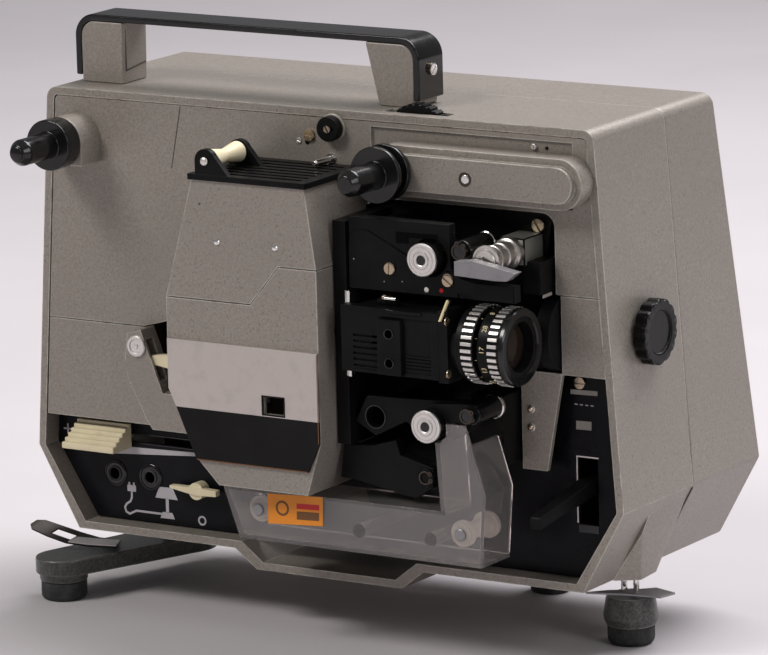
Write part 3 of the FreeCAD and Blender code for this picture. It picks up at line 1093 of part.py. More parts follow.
def drive():
    """The motor with its fan and belt, and the transformer."""
    can = rod("motor_can", "X", "motor_x", "motor_y", "motor_z", "motor_radius", "motor_length")
    foot = box("motor_foot", "motor_x + 6", "motor_x + motor_length - 6", "motor_y - 14",
               "motor_y + 14", "case_bottom + wall", "motor_z - motor_radius + 3")
    bore = rod("motor_bore", "X", "motor_x - 1", "motor_y", "motor_z", "shaft_radius + running",
               "motor_length + 2")
    node(cut("motor", fuse("motor_whole", can, foot), bore), "motor")

    shaft = rod("motor_shaft", "X", "fan_x", "motor_y", "motor_z", "shaft_radius",
                "pulley_x + pulley_width + 2 - fan_x")
    pulley = rod("motor_pulley", "X", "pulley_x", "motor_y", "motor_z", "motor_pulley",
                 "pulley_width")
    hub = rod("fan_hub", "X", "fan_x", "motor_y", "motor_z", "fan_radius / 3", "fan_width")
    back = rod("fan_back", "X", "fan_x + fan_width - 2", "motor_y", "motor_z", "fan_radius", "2")
    blades = []
    for i in range(8):
        blade = doc.addObject("Part::Box", "fan_blade_%d" % i)
        bind(blade, Length="fan_width", Width="fan_radius - 4", Height="1.6")
        turn = Rotation(Vector(1, 0, 0), 45 * i)
        blades.append(place(blade, "fan_x", "motor_y", "motor_z", turn))
    node(fuse("fan", shaft, pulley, hub, back, *blades), "fan_wheel")

    belt = doc.addObject("Part::Feature", "belt")
    belt.Shape = belt_loop()
    node(belt, "drive_belt")

    core = box("core", "core_left", "core_left + core_length", "core_y", "core_y + core_width",
               "core_low", "core_low + core_height")
    coil = box("coil", "core_left + core_length / 4", "core_left + 3 * core_length / 4",
               "core_y - coil_spread", "core_y + core_width + coil_spread", "core_low + 8",
               "core_low + core_height - 8")
    feet = box("core_feet", "core_left + 4", "core_left + core_length - 4", "core_y + 4",
               "core_y + core_width - 4", "case_bottom + wall", "core_low")
    node(fuse("transformer_whole", core, coil, feet), "transformer")

    shell = box("inlet_shell", "inlet_x - inlet_width / 2", "inlet_x + inlet_width / 2",
                "back_low_y - inlet_depth", "back_low_y", "inlet_z - inlet_height / 2",
                "inlet_z + inlet_height / 2")
    room = box("inlet_room", "inlet_x - inlet_width / 2 + inlet_wall",
               "inlet_x + inlet_width / 2 - inlet_wall", "back_low_y - inlet_depth + inlet_wall",
               "back_low_y + 3", "inlet_z - inlet_height / 2 + inlet_wall",
               "inlet_z + inlet_height / 2 - inlet_wall")
    pins = [rod("inlet_pin_%d" % i, "Y", "inlet_x + (%s) * 5" % side,
                "back_low_y - inlet_depth + 1", "inlet_z", "2", "inlet_depth - 3")
            for i, side in enumerate(("-1", "1"))]
    node(fuse("inlet", cut("inlet_box", shell, room), *pins), "mains_inlet")


def belt_loop():
    """A flat belt round the main pulley and the motor's: two arcs joined by tangents."""
    gap, thick = number("belt_gap"), number("belt_thick")
    upper = Vector(number("pulley_x"), number("inch_y"), number("inch_z"))
    lower = Vector(number("pulley_x"), number("motor_y"), number("motor_z"))
    big, small = number("pulley_radius") + gap, number("motor_pulley") + gap
    along = lower - upper
    apart = along.Length
    heading = math.atan2(along.z, along.y)
    spread = math.acos((big - small) / apart)

    def on(centre, radius, angle):
        return centre + Vector(0, radius * math.cos(angle), radius * math.sin(angle))

    def loop(extra):
        a, b = heading + spread, heading - spread
        edges = [Part.Arc(on(upper, big + extra, a), on(upper, big + extra, heading + math.pi),
                          on(upper, big + extra, b)).toShape(),
                 Part.makeLine(on(upper, big + extra, b), on(lower, small + extra, b)),
                 Part.Arc(on(lower, small + extra, b), on(lower, small + extra, heading),
                          on(lower, small + extra, a)).toShape(),
                 Part.makeLine(on(lower, small + extra, a), on(upper, big + extra, a))]
        return Part.Face(Part.Wire(edges))

    width = number("pulley_width")
    ring = loop(thick).extrude(Vector(width - 1, 0, 0)).cut(loop(0).extrude(Vector(width, 0, 0)))
    ring.translate(Vector(0.5, 0, 0))
    return ring


# ---- beside the lamp house ---------------------------------------------------------------------

def side_bracket():
    """The grey bracket left of the lamp house, and the ivory lever that shows behind it."""
    points = [("side_left + 1.5", "side_top - 2"), ("side_left", "side_top - 13"),
              ("side_left + 1", "side_top - 22"), ("side_left + 10.5", "side_low + 4"),
              ("side_left + 13.5", "side_low"), ("side_right", "side_low"),
              ("side_right", "side_low + 16"), ("side_left + 19.5", "side_low + 17"),
              ("side_left + 13.3", "side_top - 12"), ("side_left + 8.6", "side_top")]
    plate = prism("side_plate", "XZ_Plane", points, "side_front", "panel_front - side_front")
    button_hole = rod("side_hole", "Y", "side_button_x", "side_front - 1", "side_button_z",
                      "3", "6")
    room = box("loop_room", "loop_tip - 4", "side_right + 1", "loop_front - 0.6",
               "loop_front + loop_thick + 0.6", "loop_z - 9", "loop_z + 9")
    node(cut("side", plate, button_hole, room), "side_bracket")
    tip = prism("loop_tip", "XZ_Plane",
                [("loop_tip", "loop_z - 1.6"), ("loop_x + 14", "loop_z - 6"),
                 ("loop_x + 14", "loop_z + 5"), ("loop_tip", "loop_z + 1.6")],
                "loop_front", "loop_thick")
    pin = rod("loop_pin", "Y", "loop_x + 9", "loop_front + 1", "loop_z", "1.8", "12")
    node(fuse("loop", tip, pin), "loop_lever")


# ---- feet --------------------------------------------------------------------------------------

def swing_foot():
    """The foot at the front left: a tapering bracket that swings about a boss under the case."""
    reach = (number("swing_x - pivot_x"), number("swing_y - pivot_y"))
    apart = math.hypot(*reach)
    ux, uy = reach[0] / apart, reach[1] / apart
    wide, narrow = number("pivot_radius"), number("swing_radius")
    lean = math.asin((wide - narrow) / apart)

    def rim(centre, radius, turn):
        """A point on an end circle, turned from straight along the bracket."""
        c, s = math.cos(turn), math.sin(turn)
        return centre + Vector(radius * (ux * c - uy * s), radius * (uy * c + ux * s), 0)

    root = Vector(number("pivot_x"), number("pivot_y"), number("bracket_low"))
    end = Vector(number("swing_x"), number("swing_y"), number("bracket_low"))
    side = math.pi / 2 - lean
    edges = [Part.Arc(rim(root, wide, side), rim(root, wide, math.pi),
                      rim(root, wide, -side)).toShape(),
             Part.makeLine(rim(root, wide, -side), rim(end, narrow, -side)),
             Part.Arc(rim(end, narrow, -side), rim(end, narrow, 0), rim(end, narrow, side)).toShape(),
             Part.makeLine(rim(end, narrow, side), rim(root, wide, side))]
    thick = number("bracket_top - bracket_low")
    bar = doc.addObject("Part::Feature", "swing_bar")
    bar.Shape = Part.Face(Part.Wire(edges)).extrude(Vector(0, 0, thick))
    boss = rod("swing_boss", "Z", "pivot_x", "pivot_y", "bracket_top - 1", "boss_radius",
               "case_bottom - bracket_top + 0.95")
    collar = rod("swing_collar", "Z", "swing_x", "swing_y", "swing_collar", "pad_radius + 0.5",
                 "bracket_low - swing_collar + 1")
    node(fuse("swing", bar, boss, collar), "swing_foot")
    pad = taper("swing_pad_low", "Z", "swing_x", "swing_y", "0", "pad_radius - 1.2", "pad_radius",
                "1.5")
    rest = rod("swing_pad_high", "Z", "swing_x", "swing_y", "1.5", "pad_radius",
               "swing_collar - 1.5")
    node(fuse("swing_pad", pad, rest), "swing_foot_pad")


def screw_foot():
    """The foot at the front right: a collar on two bright posts that slide up into the case."""
    posts = [rod("post_%d" % i, "Z", "foot_x + (%s) * post_spread" % side, "foot_y",
                 "collar_top - 2", "post_radius", "case_bottom + 22 - collar_top")
             for i, side in enumerate(("-1", "1"))]
    tall = "(collar_top - collar_low)"
    lower = taper("collar_low", "Z", "foot_x", "foot_y", "collar_low", "collar_radius",
                  "collar_swell", tall + " / 3")
    upper = taper("collar_high", "Z", "foot_x", "foot_y", "collar_low + %s / 3" % tall,
                  "collar_swell", "collar_radius", tall + " * 2 / 3")
    node(fuse("collar", upper, lower, *posts), "front_foot")
    pad = taper("front_pad_low", "Z", "foot_x", "foot_y", "0", "pad_radius - 1.5", "pad_radius",
                "2")
    rest = rod("front_pad_high", "Z", "foot_x", "foot_y", "2", "pad_radius", "collar_low - 2")
    node(fuse("front_pad", pad, rest), "front_foot_pad")


def rear_feet():
    """Two tapered legs under the back of the case."""
    legs = []
    for i, side in enumerate(("-1", "1")):
        legs.append(taper("rear_leg_%d" % i, "Z", "(%s) * rear_foot_x" % side, "rear_foot_y", "0",
                          "rear_foot_radius", "rear_foot_radius + 2", "case_bottom"))
    node(group("legs", *legs), "rear_feet")


# ---- build, check and write --------------------------------------------------------------------

def build():
    front_casting()
    rear_cover()
    upper_front_panel()
    lower_front_panels()
    control_panel()
    lamp_sockets()
    case_screws()
    handle_strap()
    handle_blocks()
    top_thumb_wheel()
    framing_knob()
    release_plunger()
    speed_slider()
    selector_pointer()
    rewind_lever()
    focus_wheel()
    inching_knob()
    take_up()
    supply_arm()
    lamp_house()
    lamp_grille()
    rewind_roller()
    lamp()
    mechanism_plate()
    film_guards()
    sprockets()
    feed_cylinder()
    film_gate()
    shutter()
    lens()
    film_channel()
    drive()
    side_bracket()
    swing_foot()
    screw_foot()
    rear_feet()


def write():
    doc.recompute()
    for thing in doc.Objects:
        if "Invalid" in thing.State or "Error" in thing.State:
            raise RuntimeError("%s: %s" % (thing.Name, thing.State))
    os.makedirs("parts", exist_ok=True)
    for thing in NODES:
        if thing.Shape.isNull() or not thing.Shape.isValid():
            raise RuntimeError(thing.Label + " has no valid shape")
        thing.Shape.exportStep("parts/%s.step" % thing.Label)
        low, high = thing.Shape.BoundBox, thing.Shape.Volume
        print("%-22s solids %d  volume %9.0f  x %7.1f %7.1f  y %7.1f %7.1f  z %7.1f %7.1f" % (
            thing.Label, len(thing.Shape.Solids), high, low.XMin, low.XMax, low.YMin, low.YMax,
            low.ZMin, low.ZMax))


build()
write()
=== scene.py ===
"""Looks for the film projector: finished meshes, small details and procedural materials.

Lengths in the helpers are millimetres from the middle of the case's front face, at floor level.
"""
import bmesh
import bpy
import json
import math
from mathutils import Matrix, Vector


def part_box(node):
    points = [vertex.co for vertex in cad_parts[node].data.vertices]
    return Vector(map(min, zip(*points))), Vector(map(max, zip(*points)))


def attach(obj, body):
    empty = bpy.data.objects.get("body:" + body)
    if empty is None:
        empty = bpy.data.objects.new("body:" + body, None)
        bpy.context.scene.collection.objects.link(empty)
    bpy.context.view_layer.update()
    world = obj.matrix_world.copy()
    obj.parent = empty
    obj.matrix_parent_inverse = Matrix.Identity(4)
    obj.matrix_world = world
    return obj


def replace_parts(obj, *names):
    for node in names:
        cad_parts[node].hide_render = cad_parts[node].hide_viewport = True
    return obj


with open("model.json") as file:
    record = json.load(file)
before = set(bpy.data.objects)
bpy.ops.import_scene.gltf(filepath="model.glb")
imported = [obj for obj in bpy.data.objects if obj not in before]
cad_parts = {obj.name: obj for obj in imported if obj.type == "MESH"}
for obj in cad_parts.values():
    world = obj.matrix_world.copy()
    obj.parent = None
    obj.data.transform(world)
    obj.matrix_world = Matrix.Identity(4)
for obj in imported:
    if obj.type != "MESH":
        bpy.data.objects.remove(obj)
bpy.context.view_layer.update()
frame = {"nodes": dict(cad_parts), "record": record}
BODY_OF = {node: body for body, nodes in frame["record"]["behaviour"]["bodies"].items()
           for node in nodes}
FACE_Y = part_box("front_casting")[0].y


def at(x, y, z):
    """A point in the shared frame, in metres."""
    return Vector((x / 1000, FACE_Y + y / 1000, z / 1000))


# ---- materials -------------------------------------------------------------------------------

class Graph:
    """A material's nodes, added one after another."""

    def __init__(self, name):
        self.material = bpy.data.materials.new(name)
        self.material.use_nodes = True
        self.tree = self.material.node_tree
        self.shader = self.tree.nodes["Principled BSDF"]
        self.place = self.add("ShaderNodeTexCoord").outputs["Object"]

    def add(self, kind, **values):
        node = self.tree.nodes.new(kind)
        for key, value in values.items():
            setattr(node, key, value)
        return node

    def link(self, source, target):
        self.tree.links.new(source, target)

    def set(self, **values):
        for key, value in values.items():
            self.shader.inputs[key.replace("_", " ")].default_value = value

    def noise(self, size, detail=4, rough=0.55, stretch=None):
        """Noise whose features are about size millimetres across."""
        node = self.add("ShaderNodeTexNoise")
        node.inputs["Scale"].default_value = 1000 / size
        node.inputs["Detail"].default_value = detail
        node.inputs["Roughness"].default_value = rough
        self.link(self.stretched(stretch), node.inputs["Vector"])
        return node.outputs["Fac"]

    def stretched(self, stretch):
        if not stretch:
            return self.place
        node = self.add("ShaderNodeMapping")
        node.inputs["Scale"].default_value = stretch
        self.link(self.place, node.inputs["Vector"])
        return node.outputs["Vector"]

    def ramp(self, source, low, high, a=0.0, b=1.0):
        node = self.add("ShaderNodeMapRange")
        node.inputs["From Min"].default_value = low
        node.inputs["From Max"].default_value = high
        node.inputs["To Min"].default_value = a
        node.inputs["To Max"].default_value = b
        self.link(source, node.inputs["Value"])
        return node.outputs["Result"]

    def times(self, a, b):
        node = self.add("ShaderNodeMath", operation="MULTIPLY")
        for socket, value in zip(node.inputs, (a, b)):
            if isinstance(value, (int, float)):
                socket.default_value = value
            else:
                self.link(value, socket)
        return node.outputs["Value"]

    def mix(self, factor, a, b):
        node = self.add("ShaderNodeMix", data_type="RGBA")
        for socket, value in ((node.inputs["Factor"], factor), (node.inputs[6], a),
                              (node.inputs[7], b)):
            if isinstance(value, (int, float)):
                socket.default_value = value
            elif isinstance(value, tuple):
                socket.default_value = (*value, 1.0)
            else:
                self.link(value, socket)
        return node.outputs[2]

    def edges(self, radius):
        """1 along sharp edges, 0 elsewhere."""
        bevel = self.add("ShaderNodeBevel", samples=4)
        bevel.inputs["Radius"].default_value = radius / 1000
        true = self.add("ShaderNodeNewGeometry")
        dot = self.add("ShaderNodeVectorMath", operation="DOT_PRODUCT")
        self.link(bevel.outputs["Normal"], dot.inputs[0])
        self.link(true.outputs["Normal"], dot.inputs[1])
        return self.ramp(dot.outputs["Value"], 0.995, 0.90)

    def bump(self, *layers):
        """Bumps, each (height output, depth in millimetres)."""
        last = None
        for height, depth in layers:
            node = self.add("ShaderNodeBump")
            node.inputs["Distance"].default_value = depth / 1000
            self.link(height, node.inputs["Height"])
            if last:
                self.link(last, node.inputs["Normal"])
            last = node.outputs["Normal"]
        self.link(last, self.shader.inputs["Normal"])


def shade(colour, factor, lift=0.0):
    return tuple(min(1.0, c * factor + lift) for c in colour)


def hammered(name, colour, cell=1.15, depth=0.065, speck=0.63, rough=0.42, low=0.80):
    """Hammer-finish enamel: fine shallow dimples, small dark flecks, and edges lightened partly by
    wear and partly by a painted highlight.
    """
    g = Graph(name)
    mottled = g.noise(cell, 3, 0.6)
    fine = g.noise(cell * 0.5, 2, 0.7)
    broad = g.noise(70, 2)
    flecks = g.ramp(g.noise(cell * 0.8, 2, 0.5), speck, speck + 0.04)
    base = g.mix(g.ramp(broad, 0.3, 0.7), shade(colour, 0.95), shade(colour, 1.05))
    base = g.mix(g.ramp(mottled, 0.36, 0.64), shade(colour, low), base)
    base = g.mix(g.times(flecks, 0.6), base, shade(colour, 0.42))
    # lighter edge band: partly rubbed enamel, partly a painted highlight along the bevels
    worn = g.times(g.edges(0.8), g.ramp(g.noise(7, 4), 0.34, 0.52))
    base = g.mix(g.times(worn, 0.8), base, (0.70, 0.69, 0.62))
    rust = g.times(g.edges(0.4), g.ramp(g.noise(11, 3), 0.60, 0.68))
    base = g.mix(g.times(rust, 0.6), base, (0.20, 0.08, 0.03))
    g.link(base, g.shader.inputs["Base Color"])
    g.link(g.ramp(fine, 0.3, 0.7, rough - 0.08, rough + 0.1), g.shader.inputs["Roughness"])
    g.set(Metallic=0.25, Coat_Weight=0.2, Coat_Roughness=0.25, Specular_IOR_Level=0.45)
    g.bump((mottled, depth), (fine, depth * 0.5), (g.noise(12, 2), 0.015))
    return g.material


def plastic(name, colour, rough=0.35, grain=0.5, depth=0.015, wear=0.35, coat=0.0, dust=0.25,
            shine=0.35):
    """Moulded plastic or enamel: fine grain, faint dust, rubbed edges."""
    g = Graph(name)
    fine = g.noise(grain, 3, 0.6)
    smudge = g.noise(18, 4, 0.6)
    base = g.mix(g.ramp(smudge, 0.35, 0.7), colour, shade(colour, 1.15, 0.004))
    worn = g.times(g.edges(0.35), g.ramp(g.noise(4, 4), 0.42, 0.62))
    base = g.mix(g.times(worn, wear), base, shade(colour, 1.6, 0.05))
    specks = g.ramp(g.noise(0.9, 2, 0.8), 0.70, 0.78)
    base = g.mix(g.times(specks, dust), base, shade(colour, 1, 0.18))
    g.link(base, g.shader.inputs["Base Color"])
    g.link(g.ramp(smudge, 0.3, 0.7, rough - 0.06, rough + 0.09), g.shader.inputs["Roughness"])
    g.set(Coat_Weight=coat, Coat_Roughness=0.12, Specular_IOR_Level=shine)
    g.bump((fine, depth), (g.noise(5, 3), depth * 0.8))
    return g.material


def metal(name, colour, rough=0.22, stretch=None, depth=0.006, tarnish=0.25):
    """Bright metal: brushed or turned when stretched, with faint stains."""
    g = Graph(name)
    lines = g.noise(0.6, 3, 0.6, stretch)
    stain = g.noise(7, 4, 0.6)
    base = g.mix(g.ramp(lines, 0.3, 0.7), shade(colour, 0.9), shade(colour, 1.05))
    base = g.mix(g.times(g.ramp(stain, 0.5, 0.75), tarnish), base, shade(colour, 0.5))
    g.link(base, g.shader.inputs["Base Color"])
    g.link(g.ramp(lines, 0.3, 0.7, rough * 0.7, rough * 1.4), g.shader.inputs["Roughness"])
    g.set(Metallic=1.0)
    g.bump((lines, depth))
    return g.material


def rubber(name, colour):
    g = Graph(name)
    grain = g.noise(0.8, 4, 0.7)
    scuff = g.noise(6, 4, 0.7)
    base = g.mix(g.ramp(scuff, 0.4, 0.75), colour, shade(colour, 1.8, 0.03))
    g.link(base, g.shader.inputs["Base Color"])
    g.link(g.ramp(grain, 0.3, 0.7, 0.62, 0.85), g.shader.inputs["Roughness"])
    g.bump((grain, 0.05), (scuff, 0.03))
    return g.material


ACRYLIC_INDEX = 1.49


def clear(name, colour, rough, haze, milk):
    """Clear acrylic with faint scuffs; milk is the share of light that its worn skin scatters."""
    g = Graph(name)
    scuff = g.noise(0.5, 4, 0.7, (1, 1, 9))
    smear = g.noise(9, 4, 0.6)
    g.link(g.ramp(smear, 0.4, 0.75, rough, rough + haze), g.shader.inputs["Roughness"])
    g.link(g.mix(g.ramp(smear, 0.3, 0.7), colour, shade(colour, 0.96)),
           g.shader.inputs["Base Color"])
    g.set(Transmission_Weight=1.0 - milk, IOR=ACRYLIC_INDEX, Specular_IOR_Level=0.5)
    g.bump((scuff, 0.002), (smear, 0.02))
    return g.material


GREY = (0.300, 0.268, 0.232)
SILVER = (0.80, 0.79, 0.77)
MATS = {
    "hammer": hammered("hammer_enamel", GREY),
    "hammer_fine": hammered("fine_hammer_enamel", GREY, cell=0.9, depth=0.045, speck=0.66),
    "hammer_dark": hammered("dark_hammer_enamel", (0.092, 0.095, 0.088), cell=1.2, depth=0.12,
                            speck=0.58, rough=0.34, low=0.42),
    "black": plastic("black_enamel", (0.0034, 0.0033, 0.0033), 0.36, 0.6, 0.02, 0.25, 0, 0.05,
                     0.11),
    "black_gloss": plastic("black_gloss", (0.004, 0.004, 0.004), 0.16, 0.6, 0.006, 0.2, 0.1, 0.04,
                           0.4),
    "knob_black": plastic("knob_black", (0.003, 0.003, 0.003), 0.2, 0.6, 0.004, 0.1, 0, 0.02,
                          0.14),
    "black_matt": plastic("black_crackle", (0.0045, 0.0045, 0.0045), 0.5, 0.7, 0.05, 0.3, 0, 0.1,
                          0.15),
    "ink": plastic("dark_panel", (0.0036, 0.0034, 0.0050), 0.30, 0.7, 0.012, 0.1, 0, 0.05, 0.11),
    "print_black": plastic("black_print", (0.0048, 0.0044, 0.0042), 0.38, 0.7, 0.008, 0.05, 0,
                           0.06, 0.14),
    "ivory": plastic("ivory_plastic", (0.70, 0.62, 0.42), 0.38, 0.8, 0.012, wear=0.1, dust=0.0),
    "white": plastic("white_plastic", (0.62, 0.58, 0.53), 0.33, 1.2, 0.006, wear=0.0, dust=0.0),
    "ink_white": plastic("white_print", (0.42, 0.40, 0.42), 0.45, 0.9, 0.004, wear=0.0, dust=0.0),
    "cream": plastic("cream_paint", (0.62, 0.52, 0.30), 0.45, 0.6, 0.01, wear=0.0, dust=0.0),
    "label": plastic("pale_label", (0.30, 0.28, 0.25), 0.5, 0.9, 0.01, wear=0.0, dust=0.3),
    "pale_metal": metal("pale_brushed_plate", (0.62, 0.57, 0.53), 0.42, (1, 1, 22), 0.004),
    "steel": metal("turned_steel", SILVER, 0.22, (26, 26, 1)),
    "drum": metal("turned_drum", (0.66, 0.63, 0.59), 0.30, (1, 30, 1), 0.012, 0.3),
    "satin": metal("satin_aluminium", (0.80, 0.77, 0.74), 0.42, (4, 4, 1), 0.004, 0.15),
    "brass": metal("old_nickel_brass", (0.52, 0.42, 0.31), 0.30, (9, 9, 1), 0.01, 0.5),
    "bronze": metal("dull_spring_steel", (0.085, 0.070, 0.060), 0.34, None, 0.01, 0.4),
    "chrome": metal("chrome_plate", (0.86, 0.84, 0.81), 0.10, (1, 30, 1), 0.003, 0.12),
    "cast": metal("cast_zinc", (0.33, 0.32, 0.33), 0.46, None, 0.03, 0.3),
    "cast_pale": metal("cast_zinc_block", (0.42, 0.42, 0.38), 0.52, None, 0.05, 0.3),
    "blade": metal("spring_blade", (0.055, 0.050, 0.045), 0.38, (14, 1, 1), 0.01, 0.4),
    "iron": metal("lacquered_iron", (0.19, 0.16, 0.13), 0.5, (1, 18, 1), 0.02),
    "rubber": rubber("black_rubber", (0.012, 0.012, 0.012)),
    "acrylic": clear("clear_acrylic", (0.97, 0.92, 0.89), 0.02, 0.10, 0.07),
    # lens glass is opaque dark brown: partly the coating's tint, partly painted shade for the dark
    # barrel behind it
    "glass": plastic("coated_lens_painted_dark", (0.016, 0.010, 0.007), 0.05, 0.9, 0.0, 0, 0.0, 0, 0.35),
    "amber": plastic("amber_label", (0.72, 0.24, 0.015), 0.35, 0.9, 0.004, wear=0.0, dust=0.2),
    "red": plastic("red_mark", (0.50, 0.010, 0.012), 0.3, 0.9, 0.004, wear=0.0, dust=0.0),
    "rust": plastic("rusty_seam", (0.16, 0.075, 0.03), 0.7, 0.5, 0.03, wear=0.0, dust=0.3),
    "seam_black": plastic("black_seam", (0.001, 0.001, 0.001), 0.8, 0.5, 0.0, 0, 0, 0, 0.05),
    "seam": plastic("dark_seam", (0.06, 0.05, 0.045), 0.6, 0.5, 0.01, wear=0.0, dust=0.1),
}


# ---- meshes ----------------------------------------------------------------------------------

SHARP_EDGE = math.radians(28)
FLAT_ENOUGH = math.radians(0.6)
SAME_SPOT = 2e-6


def made(name, bm, look, body, smooth=35):
    """Turn a bmesh into an object that rides on a body."""
    mesh = bpy.data.meshes.new(name)
    bmesh.ops.recalc_face_normals(bm, faces=bm.faces)
    bm.to_mesh(mesh)
    bm.free()
    mesh.shade_smooth()
    mesh.set_sharp_from_angle(angle=math.radians(smooth))
    mesh.materials.append(MATS[look])
    thing = bpy.data.objects.new(name, mesh)
    bpy.context.scene.collection.objects.link(thing)
    even = thing.modifiers.new("even_normals", "WEIGHTED_NORMAL")
    even.keep_sharp = True
    even.weight = 80
    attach(thing, body)
    return thing


def soften(bm, width):
    """Round every sharp edge to a width in millimetres."""
    sharp = [e for e in bm.edges if len(e.link_faces) == 2
             and e.calc_face_angle(0) > SHARP_EDGE]
    if sharp:
        bmesh.ops.bevel(bm, geom=sharp, offset=width / 1000, segments=2, profile=0.5,
                        affect="EDGES", clamp_overlap=True)


def finished(node, look, width):
    """A CAD piece with its edges rounded, in its place."""
    bm = bmesh.new()
    bm.from_mesh(frame["nodes"][node].data)
    bmesh.ops.remove_doubles(bm, verts=bm.verts, dist=SAME_SPOT)
    bmesh.ops.dissolve_limit(bm, angle_limit=FLAT_ENOUGH, verts=bm.verts, edges=bm.edges)
    soften(bm, width)
    thing = made("finished_" + node, bm, look, BODY_OF[node])
    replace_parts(thing, node)


def bridge(bm, a, b):
    """A wall between two closed rings with as many vertices each."""
    for i in range(len(a)):
        j = (i + 1) % len(a)
        bm.faces.new((a[i], a[j], b[j], b[i]))


def rounded(name, bm, look, body, width):
    """Turn a bmesh into an object, its sharp edges rounded unless width is 0."""
    bmesh.ops.recalc_face_normals(bm, faces=bm.faces)
    if width:
        soften(bm, width)
    return made(name, bm, look, body)


def plate(name, near, far, look, body, width):
    """A flat piece between two matching outlines."""
    bm = bmesh.new()
    near, far = [[bm.verts.new(spot) for spot in outline] for outline in (near, far)]
    bm.faces.new(near)
    bm.faces.new(reversed(far))
    bridge(bm, near, far)
    return rounded(name, bm, look, body, width)


def prism(name, points, y0, y1, look, body, width=0.2):
    """A plate with an outline seen from the front (x, z), between two depths."""
    near, far = [[at(x, y, z) for x, z in points] for y in (y0, y1)]
    return plate(name, near, far, look, body, width)


def side_prism(name, points, x0, x1, look, body, width=0.2):
    """A plate with an outline seen from the right (y, z), between two values of x."""
    near, far = [[at(x, y, z) for y, z in points] for x in (x0, x1)]
    plate(name, near, far, look, body, width)


def rectangle(x0, x1, z0, z1):
    return [(x0, z0), (x1, z0), (x1, z1), (x0, z1)]


def block(name, low, high, look, body, width=0.3):
    """A rounded block between two opposite corners."""
    prism(name, rectangle(low[0], high[0], low[2], high[2]), low[1], high[1], look, body, width)


AXES = {"X": Matrix(((0, 0, 1), (1, 0, 0), (0, 1, 0))),
        "Y": Matrix(((1, 0, 0), (0, 0, 1), (0, -1, 0))), "Z": Matrix.Identity(3)}


def lathe(name, profile, axis, centre, look, body, steps=48, smooth=35, ring=False):
    """A turned piece: its profile is (radius, distance along the axis); a ring has a hole."""
    bm = bmesh.new()
    turn, middle = AXES[axis], at(*centre)
    rings = []
    for radius, along in profile:
        loop = []
        for i in range(steps):
            a = 2 * math.pi * i / steps
            local = Vector((radius * math.cos(a), radius * math.sin(a), along)) / 1000
            loop.append(bm.verts.new(middle + turn @ local))
        rings.append(loop)
    for a, b in zip(rings, rings[1:] + (rings[:1] if ring else [])):
        bridge(bm, a, b)
    if not ring:
        bm.faces.new(rings[0])
        bm.faces.new(rings[-1])
    return made(name, bm, look, body, smooth)


def screw(name, axis, centre, radius, body, look="steel", turn=25.0, height=1.2, sign=-1):
    """A slotted screw head that stands on the surface at centre and faces sign along the axis."""
    bm = bmesh.new()
    steps = 28
    levels = [(radius, 0.0), (radius, height * 0.65), (radius * 0.93, height * 0.9),
              (radius * 0.8, height)]
    half, deep = radius * 0.16, height * 0.6
    rings = [[bm.verts.new((r * math.cos(2 * math.pi * i / steps),
                            r * math.sin(2 * math.pi * i / steps), h)) for i in range(steps)]
             for r, h in levels]
    for a, b in zip(rings, rings[1:]):
        bridge(bm, a, b)
    bm.faces.new(rings[-1])
    bm.faces.new(rings[0])
    for offset in (half, -half):
        bmesh.ops.bisect_plane(bm, geom=list(bm.verts) + list(bm.edges) + list(bm.faces),
                               plane_co=(0, offset, 0), plane_no=(0, 1, 0))
    slot_faces = [f for f in bm.faces if f.normal.z > 0.9
                  and all(abs(v.co.y) <= half + 1e-6 for v in f.verts)]
    grown = bmesh.ops.extrude_face_region(bm, geom=slot_faces)
    for v in grown["geom"]:
        if isinstance(v, bmesh.types.BMVert):
            v.co.z -= deep
    bmesh.ops.delete(bm, geom=slot_faces, context="FACES")
    spin = Matrix.Rotation(math.radians(turn), 3, "Z")
    flip = Matrix.Diagonal((1, 1, sign))
    for v in bm.verts:
        v.co = at(*centre) + (AXES[axis] @ (flip @ (spin @ v.co))) / 1000
    return made(name, bm, look, body, smooth=30)


def decal(name, points, y, look, thick=0.12):
    """A thin printed or stuck-on shape whose front face lies at depth y."""
    prism(name, points, y, y + thick, look, "case", 0)


def ribbon(name, points, width, y, look, thick=0.12):
    """A line of constant width through points seen from the front."""
    spots = [Vector(p) for p in points]
    left, right = [], []
    for i, spot in enumerate(spots):
        before = (spot - spots[i - 1]).normalized() if i else None
        after = (spots[i + 1] - spot).normalized() if i + 1 < len(spots) else None
        along = ((before or after) + (after or before)).normalized()
        across = Vector((-along.y, along.x))
        reach = width / 2 / max(0.5, abs(along.dot(after or before)))
        left.append(tuple(spot + across * reach))
        right.append(tuple(spot - across * reach))
    decal(name, left + right[::-1], y, look, thick)


def arc(cx, cz, radius, start, end, steps=12):
    """Points on a circle seen from the front, between two angles in degrees."""
    turns = [math.radians(start + (end - start) * i / steps) for i in range(steps + 1)]
    return [(cx + radius * math.cos(t), cz + radius * math.sin(t)) for t in turns]


def solid(name, corners, faces, look, body, width=0.3):
    """A closed shape from its corners and faces."""
    bm = bmesh.new()
    verts = [bm.verts.new(at(*c)) for c in corners]
    for face in faces:
        bm.faces.new([verts[i] for i in face])
    rounded(name, bm, look, body, width)


